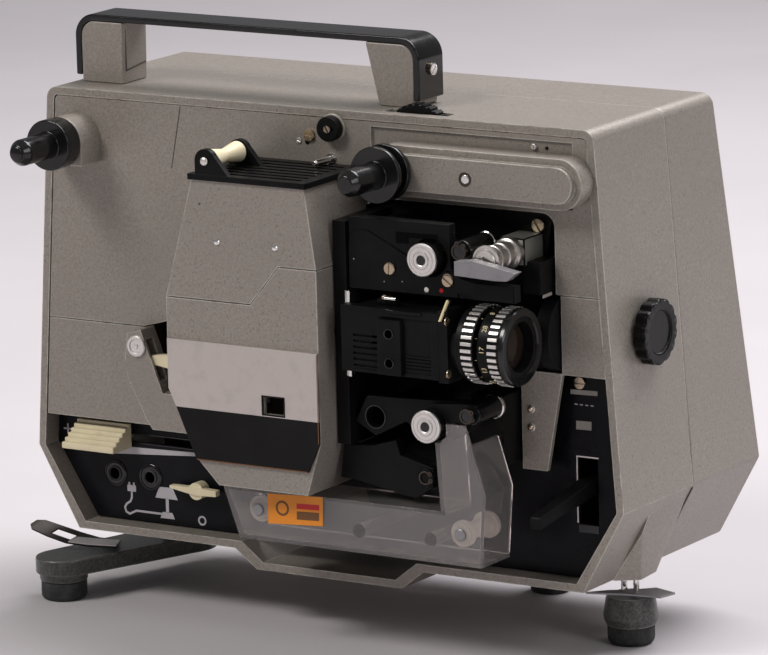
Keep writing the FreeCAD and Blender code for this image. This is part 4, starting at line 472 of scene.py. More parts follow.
def circlip(name, x, y, z, body, radius=3.3, opening=20):
    """An open spring ring with two drilled ears, on the end of a post."""
    wall = radius * 0.24
    outer = arc(x, z, radius, opening + 28, opening + 332, 26)
    inner = arc(x, z, radius - wall, opening + 332, opening + 28, 26)
    prism(name, outer + inner, y - 0.5, y, "bronze", body, 0.08)
    for side in (28, -28):
        turn = math.radians(opening + side)
        cx, cz = x + radius * 0.98 * math.cos(turn), z + radius * 0.98 * math.sin(turn)
        hole = arc(cx, cz, 0.45, 360, 0, 12)[:-1]
        rim = arc(cx, cz, 1.05, 360, 0, 12)[:-1]
        bm = bmesh.new()
        rings = [[bm.verts.new(at(px, depth, pz)) for px, pz in loop]
                 for depth in (y - 0.55, y) for loop in (rim, hole)]
        for i in range(12):
            j = (i + 1) % 12
            bm.faces.new((rings[0][i], rings[0][j], rings[1][j], rings[1][i]))
            bm.faces.new((rings[2][j], rings[2][i], rings[3][i], rings[3][j]))
            bm.faces.new((rings[0][j], rings[0][i], rings[2][i], rings[2][j]))
            bm.faces.new((rings[1][i], rings[1][j], rings[3][j], rings[3][i]))
        made("%s_ear_%s" % (name, "high" if side > 0 else "low"), bm, "bronze", body)


def dome(name, axis, centre, radius, look, body, sign=-1, height=None):
    """A round-headed rivet standing on a surface."""
    tall = height or radius * 0.7
    profile = [(radius, 0)] + [(radius * math.cos(t), sign * tall * math.sin(t))
                               for t in (0.25, 0.55, 0.9, 1.2, 1.45)]
    return lathe(name, profile, axis, centre, look, body, 20, 60)


# ---- every CAD piece, with its edges rounded -------------------------------------------------

FINISHES = {
    "front_casting": ("hammer", 0.9), "rear_cover": ("hammer", 1.3),
    "upper_front_panel": ("hammer", 0.3), "lower_front_panels": ("hammer", 0.12),
    "control_panel": ("ink", 0.2), "lamp_sockets": ("black_gloss", 0.3),
    "case_screws": ("brass", 0.12), "handle_strap": ("black_gloss", 0.7),
    "handle_blocks": ("hammer_fine", 0.8), "top_thumb_wheel": ("black", 0.15),
    "framing_knob": ("black", 0.5), "release_plunger": ("chrome", 0.3),
    "speed_slider": ("ivory", 0.5), "selector_pointer": ("ivory", 0.4),
    "rewind_lever": ("black", 0.9), "focus_wheel": ("black_matt", 0.8),
    "takeup_block": ("hammer", 0.6),
    "takeup_spindle": ("black_gloss", 0.6), "supply_arm": ("hammer", 1.3),
    "supply_spindle": ("black_gloss", 0.5), "lamp_upper_cover": ("hammer", 0.9),
    "lamp_lower_cover": ("hammer", 0.9), "lamp_grille": ("black", 0.35),
    "rewind_roller": ("ivory", 0.5), "lamp": ("white", 0.5), "condenser_lens": ("glass", 0.3),
    "mechanism_plate": ("black", 0.5), "upper_film_guard": ("black", 0.5),
    "lower_film_guard": ("black", 0.6), "lower_guide_arm": ("black", 0.6),
    "upper_sprocket": ("black_gloss", 0.3), "lower_sprocket": ("black_gloss", 0.3),
    "pinch_lever": ("cast", 0.7), "gate_plate": ("steel", 0.1),
    "film_claw": ("steel", 0.1), "shutter": ("black_matt", 0.1), "main_shaft": ("steel", 0.2),
    "lens_carrier": ("black", 0.5), "lens_barrel": ("black", 0.3), "motor": ("steel", 0.6),
    "fan_wheel": ("black", 0.3), "drive_belt": ("rubber", 0.2), "transformer": ("iron", 0.6),
    "mains_inlet": ("black", 0.4), "clear_film_channel": ("acrylic", 0.5),
    "channel_roller_left": ("white", 0.4), "channel_roller_right": ("white", 0.4),
    "side_bracket": ("hammer_fine", 0.7), "loop_lever": ("ivory", 0.4),
    "swing_foot": ("hammer_dark", 0.9), "swing_foot_pad": ("rubber", 0.9),
    "front_foot_pad": ("rubber", 0.9), "rear_feet": ("rubber", 0.8),
}
for node_name, (look_name, rounding) in FINISHES.items():
    finished(node_name, look_name, rounding)


# ---- lamp house ------------------------------------------------------------------------------

def face_plate():
    """The printed plate on the lamp house: pale above, black below, with a square window."""
    left, right = -47.9, 28.9
    y0, y1 = -46.2, -45.0
    window = (0.5, 11.5, 107.5, 115.5)
    split = 106.7
    outline = [(left, 136.5), (right, 136.5), (right, split), (left + 3.7, split), (left, 114.5)]
    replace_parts(cut_window("face_plate_pale", outline, window, y0, y1), "lamp_face_plate")
    lower = [(left + 3.7, split), (right, split), (right, 97), (22.8, 84), (-34.4, 84)]
    prism("face_plate_dark", lower, y0, y1, "print_black", "case", 0.15)


def cut_window(name, outline, window, y0, y1):
    """A pale plate with a rectangular window (x0, x1, z0, z1) cut through it."""
    hole = rectangle(*window)
    bm = bmesh.new()
    loops = []
    for y in (y0, y1):
        outer = [bm.verts.new(at(x, y, z)) for x, z in outline]
        inner = [bm.verts.new(at(x, y, z)) for x, z in hole]
        edges = [bm.edges.new((ring[i], ring[(i + 1) % len(ring)])) for ring in (outer, inner)
                 for i in range(len(ring))]
        bmesh.ops.triangle_fill(bm, edges=edges, use_beauty=True)
        loops.append((outer, inner))
    for a, b in zip(*loops):
        bridge(bm, a, b)
    bmesh.ops.dissolve_limit(bm, angle_limit=FLAT_ENOUGH, verts=bm.verts, edges=bm.edges)
    return made(name, bm, "pale_metal", "case")


face_plate()
for x, z in ((-21.1, 180.6), (8.5, 180.5)):
    lathe("cover_rivet_%d" % (x + 30), [(1.5, 0), (1.5, -0.3), (1.1, -0.8), (0.4, -1.0)], "Y",
          (x, -45, z), "steel", "lamp_cover", 20)

# ---- lens ------------------------------------------------------------------------------------

OPTIC = (0, -27, 144)


def knurled_ring(node, start, end, body):
    """A ring with bright ribs and black grooves between them."""
    count = 36
    ring = lathe("ring_base_" + node, [(13.56, start), (16.2, start), (16.2, end), (13.56, end),
                                       (13.55, end), (13.55, start)],
                 "X", OPTIC, "black", body, 64)
    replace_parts(ring, node)
    bm = bmesh.new()
    for i in range(count):
        a0 = 2 * math.pi * (i - 0.25) / count
        a1 = 2 * math.pi * (i + 0.25) / count
        corners = []
        for x in (start + 0.25, end - 0.25):
            for a, r in ((a0, 16.1), (a1, 16.1), (a1, 17.0), (a0, 17.0)):
                corners.append(bm.verts.new(at(x, OPTIC[1] + r * math.sin(a),
                                               OPTIC[2] + r * math.cos(a))))
        for f in ((0, 1, 2, 3), (7, 6, 5, 4), (0, 4, 5, 1), (1, 5, 6, 2), (2, 6, 7, 3),
                  (3, 7, 4, 0)):
            bm.faces.new([corners[k] for k in f])
    rounded("ring_ribs_" + node, bm, "satin", body, 0.15)


knurled_ring("zoom_ring", 98.5, 104.2, "zoom")
knurled_ring("focus_ring", 111.5, 116.5, "focus")


def lens_element(name, x):
    """A biconvex lens element on the optical axis."""
    radius, thick, bulge, steps = 10.6, 1.6, 1.4, 10
    front = [(radius * math.cos(math.pi / 2 * i / steps),
              x + thick / 2 + bulge * math.sin(math.pi / 2 * i / steps)) for i in range(steps)]
    back = [(r, 2 * x - along) for r, along in front]
    return lathe(name, list(reversed(back)) + front + [(0.05, x + thick / 2 + bulge)], "X", OPTIC,
                 "glass", "lens", 48, 60)


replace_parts(lens_element("front_element", 112.5), "lens_glass")
lens_element("rear_element", 65)
lathe("lens_baffle", [(10.65, 96), (10.65, 97), (6, 104), (5.9, 104), (10.4, 96)], "X", OPTIC,
      "black_matt", "lens", 48)

# ---- the back: screws, a blank rating plate and a fuse cap -----------------------------------

def back_at(height):
    """Depth of the case's back face at a height: it leans forward above the crease."""
    return 120 - max(0, height - 69.5) * 17 / 163.5


for index, (x, z) in enumerate(((-121, 216), (121, 216), (-138, 86), (138, 86), (-104, 43),
                                (104, 43))):
    lathe("back_washer_%d" % index, [(3.3, -0.6), (4.4, -0.4), (4.6, 0.1), (4.2, 0.35),
                                     (3.3, 0.3)], "Y", (x, back_at(z), z), "steel", "case", 32,
          ring=True)
    screw("back_screw_%d" % index, "Y", (x, back_at(z) - 0.3, z), 3.1, "case", "steel", 33 * index,
          1.2, 1)
block("rating_plate", (-32, 119.8, 44), (22, 120.35, 62), "satin", "case", 0.2)
for index in range(4):
    z = 48 + 3.2 * index
    decal("rating_line_%d" % index, rectangle(-28, 18 - 9 * (index % 2), z, z + 0.5), 120.3,
          "seam")
for index, (x, z) in enumerate(((-30, 60), (20, 60), (-30, 46), (20, 46))):
    dome("rating_rivet_%d" % index, "Y", (x, 120.3, z), 0.9, "satin", "case", 1, 0.5)
lathe("fuse_cap", [(7.0, -0.6), (7.0, 1.2), (6.6, 1.6), (5.2, 1.8), (5.0, 6.4), (4.5, 7.0),
                   (1.2, 7.0), (1.0, 6.3), (0.2, 6.3)], "Y", (58, 120, 54), "black", "case", 40)
block("vent_frame", (-99, back_at(107) - 0.6, 106), (-17, back_at(106) + 0.25, 107.2),
      "hammer_fine", "case", 0.2)

# ---- the fluted knob on the right side -------------------------------------------------------

def side_knob():
    """A knob on the X axis with shallow hollows round its rim and a ribbed dish in its face."""
    bm = bmesh.new()
    centre, radius, flutes, thick = (147, 31, 142.5), 14.4, 14, 5.8
    body = BODY_OF["inching_knob"]
    steps = flutes * 12
    levels = [(0.30, 0, 0, 0), (0.955, 0, 1, 0), (1.0, 0.5, 1, 0), (1.0, thick - 0.6, 1, 0),
              (0.965, thick, 1, 0), (0.70, thick, 0, 0), (0.67, thick - 0.3, 0, 1),
              (0.64, thick - 1.0, 0, 1), (0.62, thick - 1.0, 0, 0), (0.03, thick - 1.0, 0, 0)]
    rings = []
    for size, along, fluted, ribbed in levels:
        ring = []
        for i in range(steps):
            a = 2 * math.pi * i / steps
            dip = 0.5 + 0.5 * math.cos(flutes * a)
            r = radius * size - fluted * 0.85 * dip ** 2 - ribbed * 0.22 * (i % 3 == 0)
            ring.append(bm.verts.new(at(centre[0] + along, centre[1] + r * math.cos(a),
                                        centre[2] + r * math.sin(a))))
        rings.append(ring)
    for a, b in zip(rings, rings[1:]):
        bridge(bm, a, b)
    bm.faces.new(rings[0])
    bm.faces.new(rings[-1])
    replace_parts(made("side_knob", bm, "knob_black", body, 50), "inching_knob")
    lathe("side_knob_shaft", [(3.0, -14), (3.0, 0.5)], "X", centre, "steel", body, 24)


side_knob()

# ---- the right foot --------------------------------------------------------------------------

FOOT = (127, 46, 0)
POST_STEP = 3
collar = lathe("foot_collar", [(10.6, 8.5), (11.8, 11), (12.0, 13), (10.8, 20.6), (10.2, 21.4),
                               (8.5, 21.5), (0.5, 21.5)], "Z", FOOT, "hammer_dark",
               "right_foot", 48)
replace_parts(collar, "front_foot")
for offset in (-POST_STEP, POST_STEP):
    lathe("foot_post_%d" % (offset + 5), [(1.4, 20), (1.4, 52.6), (1.0, 53)], "Z",
          (FOOT[0] + offset, FOOT[1], 0), "chrome", "right_foot", 20)

# ---- the case's small parts ------------------------------------------------------------------

# painted shadow: a dark line where the upper panel steps, standing for the step's shade
ribbon("panel_step_shadow", [(-69.0, 228.6), (-70.6, 220.5), (-72.4, 211.7), (-74.6, 200.8)], 0.45,
       0.52, "seam")
ribbon("top_seam", [(-131, 229.3), (-60, 229.3), (20, 229.3), (90, 229.3), (131, 229.3)], 0.34,
       0.35, "rust", 0.8)
ribbon("right_seam", [(138.0, 214), (140.6, 190), (143.2, 164)], 0.32, 0.35, "rust", 0.8)
screw("strap_screw_cap", "X", (45.66, 26, 249), 2.75, "case", "chrome", 40, 0.3, 1)
lathe("knob_seat", [(6.3, 0.5), (6.3, -0.4), (6.0, -0.7), (5.6, -0.8), (2.6, -0.8)], "Y",
      (10.2, 0.2, 225), "hammer_fine", "case", 36)
lathe("knob_bush", [(2.35, 0), (2.35, -0.25), (2.1, -0.35), (0.3, -0.35)], "Y", (10.2, -4.6, 225),
      "black", "framing", 28)
screw("knob_screw", "Y", (10.2, -4.3, 225), 1.75, "framing", "brass", 62, 0.75)
screw("frame_screw_a", "Y", (-7.6, 0.6, 218.0), 1.35, "case", "satin", 20, 0.5)
screw("frame_screw_b", "Y", (-3.3, 0.6, 217.9), 1.1, "case", "black", 70, 0.4)
lathe("plunger_seat", [(2.5, 0.6), (2.5, -0.5), (2.2, -0.8), (1.5, -0.8), (1.5, 0.4)], "Y",
      (8.7, 0.6, 211.4), "steel", "case", 28, ring=True)
screw("tray_screw_a", "Y", (109.8, 2.0, 223.9), 1.4, "case", "satin", 80, 1.2)
dome("tray_pin", "Y", (115.7, 2.0, 223.7), 0.8, "black", "case", -1, 0.8)
screw("arm_screw", "Y", (84.2, -12.9, 210.4), 1.9, "arm", "steel", 112, 0.35)
# painted shade: a flat dark ring round the screw stands for the shade in its recess
lathe("arm_screw_recess_shade", [(3.1, 0.1), (3.1, -0.12), (2.9, -0.2), (2.2, -0.2), (2.05, 0.1)], "Y",
      (84.2, -13, 210.4), "bronze", "arm", 36, ring=True)
for index, height in enumerate((110.8, 102.9)):
    dome("strip_rivet_%d" % index, "Y", (106.1, 0.6, height), 1.6, "brass", "case", -1, 1.9)
    lathe("strip_washer_%d" % index, [(1.9, 0.05), (1.9, -0.2), (1.7, -0.3), (0.6, -0.3)], "Y",
          (106.1, 0.6, height), "satin", "case", 24)
lathe("bracket_button", [(4.8, 0), (4.8, -0.8), (4.4, -1.2), (3.3, -1.2), (3.0, -0.7), (1.2, -0.7),
                         (0.9, -1.1), (0.2, -1.2)], "Y", (-89, -10, 122), "satin", "case", 36)
lathe("arm_pivot_cap", [(3.2, 0.1), (3.2, -0.5), (2.6, -0.9), (0.3, -1.0)], "Y",
      (-123.3, -47, 211.3), "black_gloss", "takeup", 30)

side_prism("block_seam", [(19.0, 238.5), (34.5, 240.5), (34.5, 241.0), (19.4, 239.1),
                         (19.4, 259.5), (19.0, 259.5)], -110.1, -109.55, "seam", "case", 0)

# the faceted housing round the front foot's posts, and the gap between the case's halves
solid("post_housing", [(147.8, 27.8, 64.3), (144.6, 26.5, 54.6), (129.8, 25.5, 32.3),
                       (138.0, 36.1, 31.2), (136.7, 51.5, 31.2), (131.9, 58.9, 32.0),
                       (149.6, 59.3, 68.2)],
      [(0, 2, 1), (1, 2, 3), (0, 1, 3), (0, 3, 6), (3, 4, 6), (4, 5, 6), (2, 5, 4, 3), (0, 6, 5),
       (0, 5, 2)], "hammer", "case", 0.35)


def side_line(name, low, high, widths):
    """A dark sliver of gap on the case's side between two heights, wider at its first end."""
    corners = []
    for (x, z), width in zip((low, high), widths):
        for y in (60 - width / 2, 60 + width / 2):
            corners += [(x - 1, y, z), (x + 0.08, y, z)]
    solid(name, corners, [(0, 1, 3, 2), (4, 6, 7, 5), (0, 4, 5, 1), (2, 3, 7, 6), (1, 5, 7, 3),
                          (0, 2, 6, 4)], "seam", "case", 0)


side_line("side_gap_high", (150.8, 71.0), (148.2, 108.0), (0.5, 0.1))
side_line("side_gap_low", (132.2, 35.0), (150.8, 68.4), (2.6, 0.7))

# ---- the dark control panel: printed marks, sockets and slots --------------------------------

PANEL_Y = 9.52
COLUMN_Y = 9.5
LIP_Y = 9.3
for part, outline in (
        ("speed_wedge", [(-124.4, 66.0), (-112.5, 70.3), (-72.0, 71.4), (-72.0, 69.8)]),
        ("plus_bar", rectangle(-144.0, -139.6, 75.1, 75.8)),
        ("plus_post", rectangle(-142.2, -141.4, 73.2, 77.8)),
        ("mark_plug", rectangle(-110.4, -105.8, 50.0, 52.9)),
        ("mark_pin_left", rectangle(-109.75, -108.85, 52.9, 54.2)),
        ("mark_pin_right", rectangle(-107.35, -106.45, 52.9, 54.2)),
        ("mark_shade", [(-93.2, 53.7), (-86.0, 53.9), (-83.4, 48.6), (-95.4, 48.6)]),
        ("mark_stem", rectangle(-89.9, -88.3, 42.2, 48.8)),
        ("mark_base", [(-93.0, 39.5), (-85.3, 39.6), (-86.5, 42.4), (-91.7, 42.4)])):
    decal(part, outline, PANEL_Y, "ink_white")
ribbon("mark_cord", [(-108.1, 50.1), (-108.2, 47.2), (-109.0, 45.4), (-111.0, 44.2),
                     (-112.1, 42.4), (-111.4, 40.4), (-109.6, 39.6), (-107.6, 40.6),
                     (-106.0, 41.4), (-92.0, 41.4)], 0.95, PANEL_Y, "ink_white")
lathe("mark_motor", [(2.2, 0), (2.2, -0.08), (1.4, -0.08), (1.4, 0)], "Y", (-70.6, 9.6, 40.6),
      "ink_white", "case", 28, ring=True)
for side, x in (("left", -116.5), ("right", -97.5)):
    lathe("socket_rim_" + side, [(5.0, 0.4), (6.1, 0.1), (6.1, -0.3), (5.7, -0.6), (5.05, -0.7)],
          "Y", (x, 9.5, 57.6), "black_gloss", "case", 36, ring=True)
    lathe("socket_throat_" + side, [(3.6, 0), (3.6, -0.35), (3.3, -0.5), (2.7, -0.5), (2.55, 0)],
          "Y", (x, 9.0, 57.6), "rubber", "case", 32, ring=True)
ribbon("track_lip", [(-109, 76.9), (-68.5, 76.9)], 0.4, LIP_Y, "black_gloss", 0.3)
ribbon("track_lip_low", [(-109, 72.6), (-68.5, 72.6)], 0.4, LIP_Y, "black_gloss", 0.3)
decal("column_label", [(120.4, 116.9), (133.6, 117.2), (133.7, 119.2), (120.5, 118.9)], COLUMN_Y,
      "label")
decal("column_tag", [(122.9, 101.7), (130.4, 101.9), (130.5, 105.7), (123.0, 105.5)], COLUMN_Y,
      "label")
for mark in range(4):
    x = 122.4 + 2.6 * mark
    decal("column_dot_%d" % mark, rectangle(x, x + 1.4, 112.4, 112.9), COLUMN_Y, "ink_white")
# painted highlight: a satin strip along the slot's left and top edges only
ribbon("lever_slot_rim_highlight", [(123.1, 61.0), (123.1, 90.1), (133.7, 90.1)], 0.55, LIP_Y, "satin", 0.35)
decal("lever_slot_foot", rectangle(123.5, 133.3, 57.0, 60.3), 9.35, "black_gloss", 0.3)

# ---- small parts of the lamp house -----------------------------------------------------------

PLATE_Y = -46.26
ribbon("plate_rust_low", [(-34.2, 84.3), (-6, 84.3), (22.6, 84.3)], 0.5, PLATE_Y, "rust", 0.1)
ribbon("plate_rust_side", [(28.6, 97.2), (28.6, 118), (28.6, 136)], 0.35, PLATE_Y, "rust", 0.1)
for side, x0, x1, z0, z1 in (("left", 0.1, 0.7, 107.1, 115.9), ("right", 11.3, 11.9, 107.1, 115.9),
                             ("low", 0.1, 11.9, 107.1, 107.7), ("high", 0.1, 11.9, 115.3, 115.9)):
    decal("window_rim_" + side, rectangle(x0, x1, z0, z1), -46.35, "black", 0.5)
dome("house_pin_22", "Y", (-29.5, -45, 196.5), 0.5, "seam", "lamp_cover", -1, 0.1)
dome("house_pin_25", "Y", (-27.0, -45, 91.0), 0.5, "seam", "case", -1, 0.1)
dome("ear_rivet", "Y", (-25.5, -46.5, 215.5), 1.9, "satin", "lamp_cover", -1, 0.9)

# ---- film path -------------------------------------------------------------------------------

SPROCKET_X, TOOTH_CIRCLE = 77.5, 5.9
for part, height in (("sprocket_high", 179.8), ("sprocket_low", 108.1)):
    centre = (SPROCKET_X, -38, height)
    lathe(part + "_face", [(7.02, 0.6), (7.05, -0.5), (6.7, -0.85), (5.9, -0.85), (5.8, -0.55),
                           (5.6, -0.55), (5.5, -0.85), (4.0, -0.85), (3.85, -0.5), (3.6, -0.5),
                           (3.5, -1.1), (2.5, -1.2), (2.2, -1.0), (2.1, -0.2)], "Y", centre,
          "satin", part, 56)
    lathe(part + "_hole", [(2.12, -0.95), (1.9, -0.35), (1.2, -0.3), (0.2, -0.28)], "Y", centre,
          "black_gloss", part, 32)
    for step in range(12):
        turn = math.radians(30 * step)
        dome("%s_tooth_%d" % (part, step), "Y",
             (SPROCKET_X + TOOTH_CIRCLE * math.cos(turn), -33.6,
              height + TOOTH_CIRCLE * math.sin(turn)), 0.45, "satin", part, 1, 0.9)

feed = lathe("feed_body", [(0.2, -33.2), (1.6, -33.2), (1.9, -33.9), (4.4, -34.0), (4.7, -33.7),
                           (4.8, -33.3), (5.2, -33.3), (5.4, -33.6), (6.2, -33.6), (6.5, -33.3),
                           (6.5, -32.2), (6.1, -31.8), (5.4, -31.6), (5.3, -28.2), (5.6, -28.0),
                           (5.6, -27.4), (5.3, -27.2), (5.2, -22.6), (5.7, -22.2), (5.8, -17.0),
                           (6.6, -16.6), (6.8, -16.2), (6.8, -14.6), (6.6, -14.2), (6.1, -13.8),
                           (6.1, -12.0), (3.0, -12.0), (3.0, 22.0)], "Y", (106, 0, 181), "drum",
             "feed", 72)
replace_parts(feed, "feed_cylinder")
block("zinc_block", (99.9, -11.96, 174.9), (112.1, 3.9, 187.1), "cast_pale", "case", 0.9)

prism("guard_face", [(36.9, 163.4), (37.1, 183.2), (38.2, 185.9), (40.4, 187.8), (43.4, 188.8),
                     (46.6, 188.6), (49.4, 187.4), (60.7, 182.0), (66.6, 179.0), (69.0, 175.2),
                     (72.8, 172.0), (77.5, 171.2), (82.2, 172.2), (84.8, 174.4), (88.4, 174.3),
                     (91.8, 171.8), (100.4, 170.4), (117.8, 170.3), (117.8, 163.7), (93.5, 163.5),
                     (93.5, 165.4), (90.9, 165.4), (90.9, 163.5)],
      -31.7, -31.0, "black", "case", 0.18)
prism("guard_slot_frame", [(60.4, 189.4), (81.2, 189.6), (81.2, 187.6), (66.8, 187.2),
                           (66.8, 184.6), (60.4, 184.4)], -31.08, -31.0, "seam_black", "case", 0)
screw("guard_bolt_left", "Y", (57.6, -31.9, 173.4), 2.7, "case", "brass", 95, 0.9)
screw("guard_bolt_right", "Y", (86.3, -31.9, 170.6), 2.7, "case", "brass", 35, 0.9)
screw("plate_bolt", "Y", (110.5, 2.7, 190.2), 3.0, "case", "brass", 60, 1.4)
dome("dot_white", "Y", (75.5, -31.7, 165.7), 1.15, "white", "case", -1, 0.35)
dome("dot_red", "Y", (82.9, -31.7, 166.0), 1.05, "red", "case", -1, 0.35)
for index, (x, z) in enumerate(((54.5, 167.5), (63.5, 168.2), (39.5, 176.0))):
    dome("guard_speck_%d" % index, "Y", (x, -31.7, z), 0.32, "label", "case", -1, 0.1)

# posts with circlips, each behind the guides
HIGH_POST, LOW_POST = (92.0, 0, 183.4), (95.9, 0, 113.7)
lathe("loop_post_high", [(4.6, -10), (4.6, -28.8), (4.2, -29.4), (3.4, -29.4), (3.4, -31.6),
                         (3.1, -32.0), (0.3, -32.1)], "Y", HIGH_POST, "black_gloss", "case", 40)
lathe("loop_post_high_ring", [(4.65, -9.2), (5.0, -9.4), (5.0, -10.4), (4.65, -10.6)], "Y",
      HIGH_POST, "chrome", "case", 40, ring=True)
circlip("clip_high", 92.0, -31.9, 183.4, "case", 3.6, 75)
prism("lower_arm_plate", [(70.4, 113.0), (76.5, 116.8), (90.5, 118.3), (95.2, 118.4),
                          (98.8, 116.9), (100.6, 113.8), (99.2, 110.6), (95.6, 109.6),
                          (88.8, 109.8), (84.0, 104.2), (77.5, 101.0), (71.0, 103.4)],
      -33.2, -31.6, "black", "case", 0.3)
lathe("loop_post_low", [(4.8, -12.4), (4.8, -31.4), (4.4, -32.0), (3.3, -32.0), (3.3, -34.9),
                        (3.0, -35.2), (0.3, -35.3)], "Y", LOW_POST, "black_gloss", "case", 44)
lathe("loop_post_low_ring", [(4.85, -12.0), (5.3, -12.2), (5.3, -13.4), (4.85, -13.7)], "Y",
      LOW_POST, "chrome", "case", 44, ring=True)
circlip("clip_low", 95.9, -35.1, 113.7, "case", 3.3, 8)
lathe("arm_boss", [(4.4, 0.2), (4.4, -0.5), (4.1, -0.8), (3.4, -0.8), (3.3, -0.4), (0.3, -0.4)],
      "Y", (70.6, -28, 83.2), "black", "case", 36)
circlip("clip_arm", 70.6, -28.5, 83.2, "case", 3.1, 8)
for index, (x, z) in enumerate(((54.5, 111.5), (42.7, 90.6), (47.1, 90.8))):
    dome("path_speck_%d" % index, "Y", (x, 3.9, z), 0.5, "satin", "case", -1, 0.3)
lathe("shoe_hole_rim", [(5.3, 0.1), (5.3, -0.35), (5.0, -0.45), (4.65, -0.35), (4.62, 0.3)], "Y",
      (46.7, -29, 107.6), "black_gloss", "case", 40, ring=True)

# ---- lens carrier ----------------------------------------------------------------------------

def carrier_piece(name, x0, x1, z0, z1, y0=-42.2, width=0.3):
    """A raised bar on the carrier's front face."""
    block("carrier_" + name, (x0, y0, z0), (x1, -40.9, z1), "black", "carrier", width)


carrier_piece("screw_block", 57.4, 69.2, 129.8, 153.9, -43.5, 0.6)
carrier_piece("top_rail", 56.0, 87.3, 154.9, 158.0)
carrier_piece("right_rail", 83.4, 87.3, 129.6, 154.9)
carrier_piece("low_rail", 45.2, 83.4, 129.6, 131.2, -41.5)
carrier_piece("tab", 62.2, 79.4, 156.9, 158.0, -43.4)
for index in range(5):
    z = 132.4 + 1.45 * index
    carrier_piece("fin_right_%d" % index, 70.6, 83.2, z, z + 0.7, -41.7, 0.15)
for index, z in enumerate((147.9, 135.3)):
    lathe("block_bore_%d" % index, [(2.35, 0), (2.35, -0.3), (2.1, -0.4), (1.85, -0.3),
                                    (1.85, 0.2), (0.2, 0.2)], "Y", (63.5, -43.5, z),
          "black_gloss", "carrier", 32)
    screw("block_screw_%d" % index, "Y", (63.5, -43.25, z), 1.3, "carrier", "steel", 50, 0.1)
for index, (y, z) in enumerate(((-42.1, 155.5), (-41.5, 133.0))):
    screw("flange_screw_%d" % index, "X", (91.5, y, z), 1.9, "carrier", "brass", 30, 0.5, 1)
side_prism("release_blade", [(-45.6, 156.0), (-44.6, 155.7), (-37.4, 163.0), (-38.6, 164.0)], 89.4,
           90.4, "cream", "carrier", 0.2)
side_prism("release_blade_back", [(-44.4, 155.8), (-43.4, 155.6), (-36.0, 162.9), (-37.3, 163.8)],
           90.4, 90.9, "black", "carrier", 0.15)
lathe("gate_ball", [(0.2, -1.3), (0.9, -1.1), (1.3, -0.4), (1.3, 0.4), (0.9, 1.0), (0.5, 1.2),
                    (0.5, 5)], "Y", (57.1, -36, 161.6), "brass", "case", 24, 60)
lathe("gate_pin", [(0.2, -3.0), (0.8, -2.8), (0.9, -2.4), (0.9, 3)], "X", (60.3, -36.5, 161.4),
      "chrome", "case", 20)
block("gate_arm", (52.4, -34.6, 158.2), (62.0, -31.6, 160.6), "black", "case", 0.4)
side_prism("corner_label", [(-8.6, 161.4), (-0.9, 161.5), (-0.9, 162.9), (-8.6, 162.8)], 118.42,
           118.52, "label", "case", 0)


def number_on_barrel(name, text, angle, size=3.2, x=109.0):
    """Digits engraved in cream round the barrel, read upwards."""
    radius = 16.24
    curve = bpy.data.curves.new(name, "FONT")
    curve.body = text
    curve.size = size
    curve.align_x = "CENTER"
    curve.align_y = "CENTER"
    curve.extrude = 0.04
    holder = bpy.data.objects.new(name + "_text", curve)
    bpy.context.scene.collection.objects.link(holder)
    bpy.context.view_layer.update()
    flat = bpy.data.meshes.new_from_object(holder.evaluated_get(
        bpy.context.evaluated_depsgraph_get()))
    bm = bmesh.new()
    bm.from_mesh(flat)
    bpy.data.objects.remove(holder)
    bmesh.ops.remove_doubles(bm, verts=bm.verts, dist=1e-5)
    for v in bm.verts:
        turn = math.radians(angle) + v.co.x / radius
        r = radius + v.co.z
        v.co = at(x - v.co.y, OPTIC[1] - r * math.cos(turn), OPTIC[2] + r * math.sin(turn))
    return made(name, bm, "cream", "lens")


for index, (digits, angle) in enumerate((("28", 36), ("17", 3), ("13", -30), ("8", 66),
                                         ("50", -62))):
    number_on_barrel("barrel_number_%d" % index, digits, angle)
for index in range(5):
    number_on_barrel("barrel_tick_%d" % index, "I", -46 + 33 * index, 1.3, 105.9)
lathe("barrel_front_ring", [(16.3, 116.7), (16.7, 117.3), (16.6, 118.7), (16.0, 119.2),
                            (13.2, 119.2), (12.9, 118.6), (12.4, 117.4), (11.9, 116.4),
                            (11.2, 115.8), (10.75, 115.2), (10.75, 114.6)], "X", OPTIC,
      "black_gloss", "lens", 64, ring=True)
lathe("barrel_inner_ring", [(12.3, 117.0), (12.1, 117.5), (11.7, 117.4), (11.6, 116.6)], "X",
      OPTIC, "satin", "lens", 64, ring=True)

# ---- clear channel ---------------------------------------------------------------------------

decal("sticker", [(-5.6, 69.8), (22.6, 71.0), (22.3, 58.2), (-5.8, 56.5)], -35.16, "amber")
decal("sticker_band", [(9.2, 66.9), (20.8, 67.4), (20.7, 65.0), (9.1, 64.5)], -35.22, "red", 0.06)
decal("sticker_field", [(9.2, 63.4), (20.6, 63.9), (20.5, 60.3), (9.1, 59.8)], -35.22, "rust",
      0.06)
lathe("sticker_ring", [(3.4, 0), (3.4, -0.07), (2.4, -0.07), (2.4, 0)], "Y", (1.8, -35.16, 64),
      "rust", "case", 28, ring=True)
for part, x in (("channel_left", -10.7), ("channel_right", 91.4)):
    lathe(part + "_cap", [(2.1, -0.35), (2.8, -0.5), (4.2, -0.5), (4.6, -0.3), (4.6, 0.0)], "Y",
          (x, -33.0, 62), "white", part, 40, ring=True)
    lathe(part + "_stud_cap", [(2.6, 0.2), (2.6, -0.5), (2.2, -0.8), (0.2, -0.85)], "Y",
          (x, -35.0, 62), "cast", "case", 32)

# ---- the left foot's springs and the right foot's sheet --------------------------------------

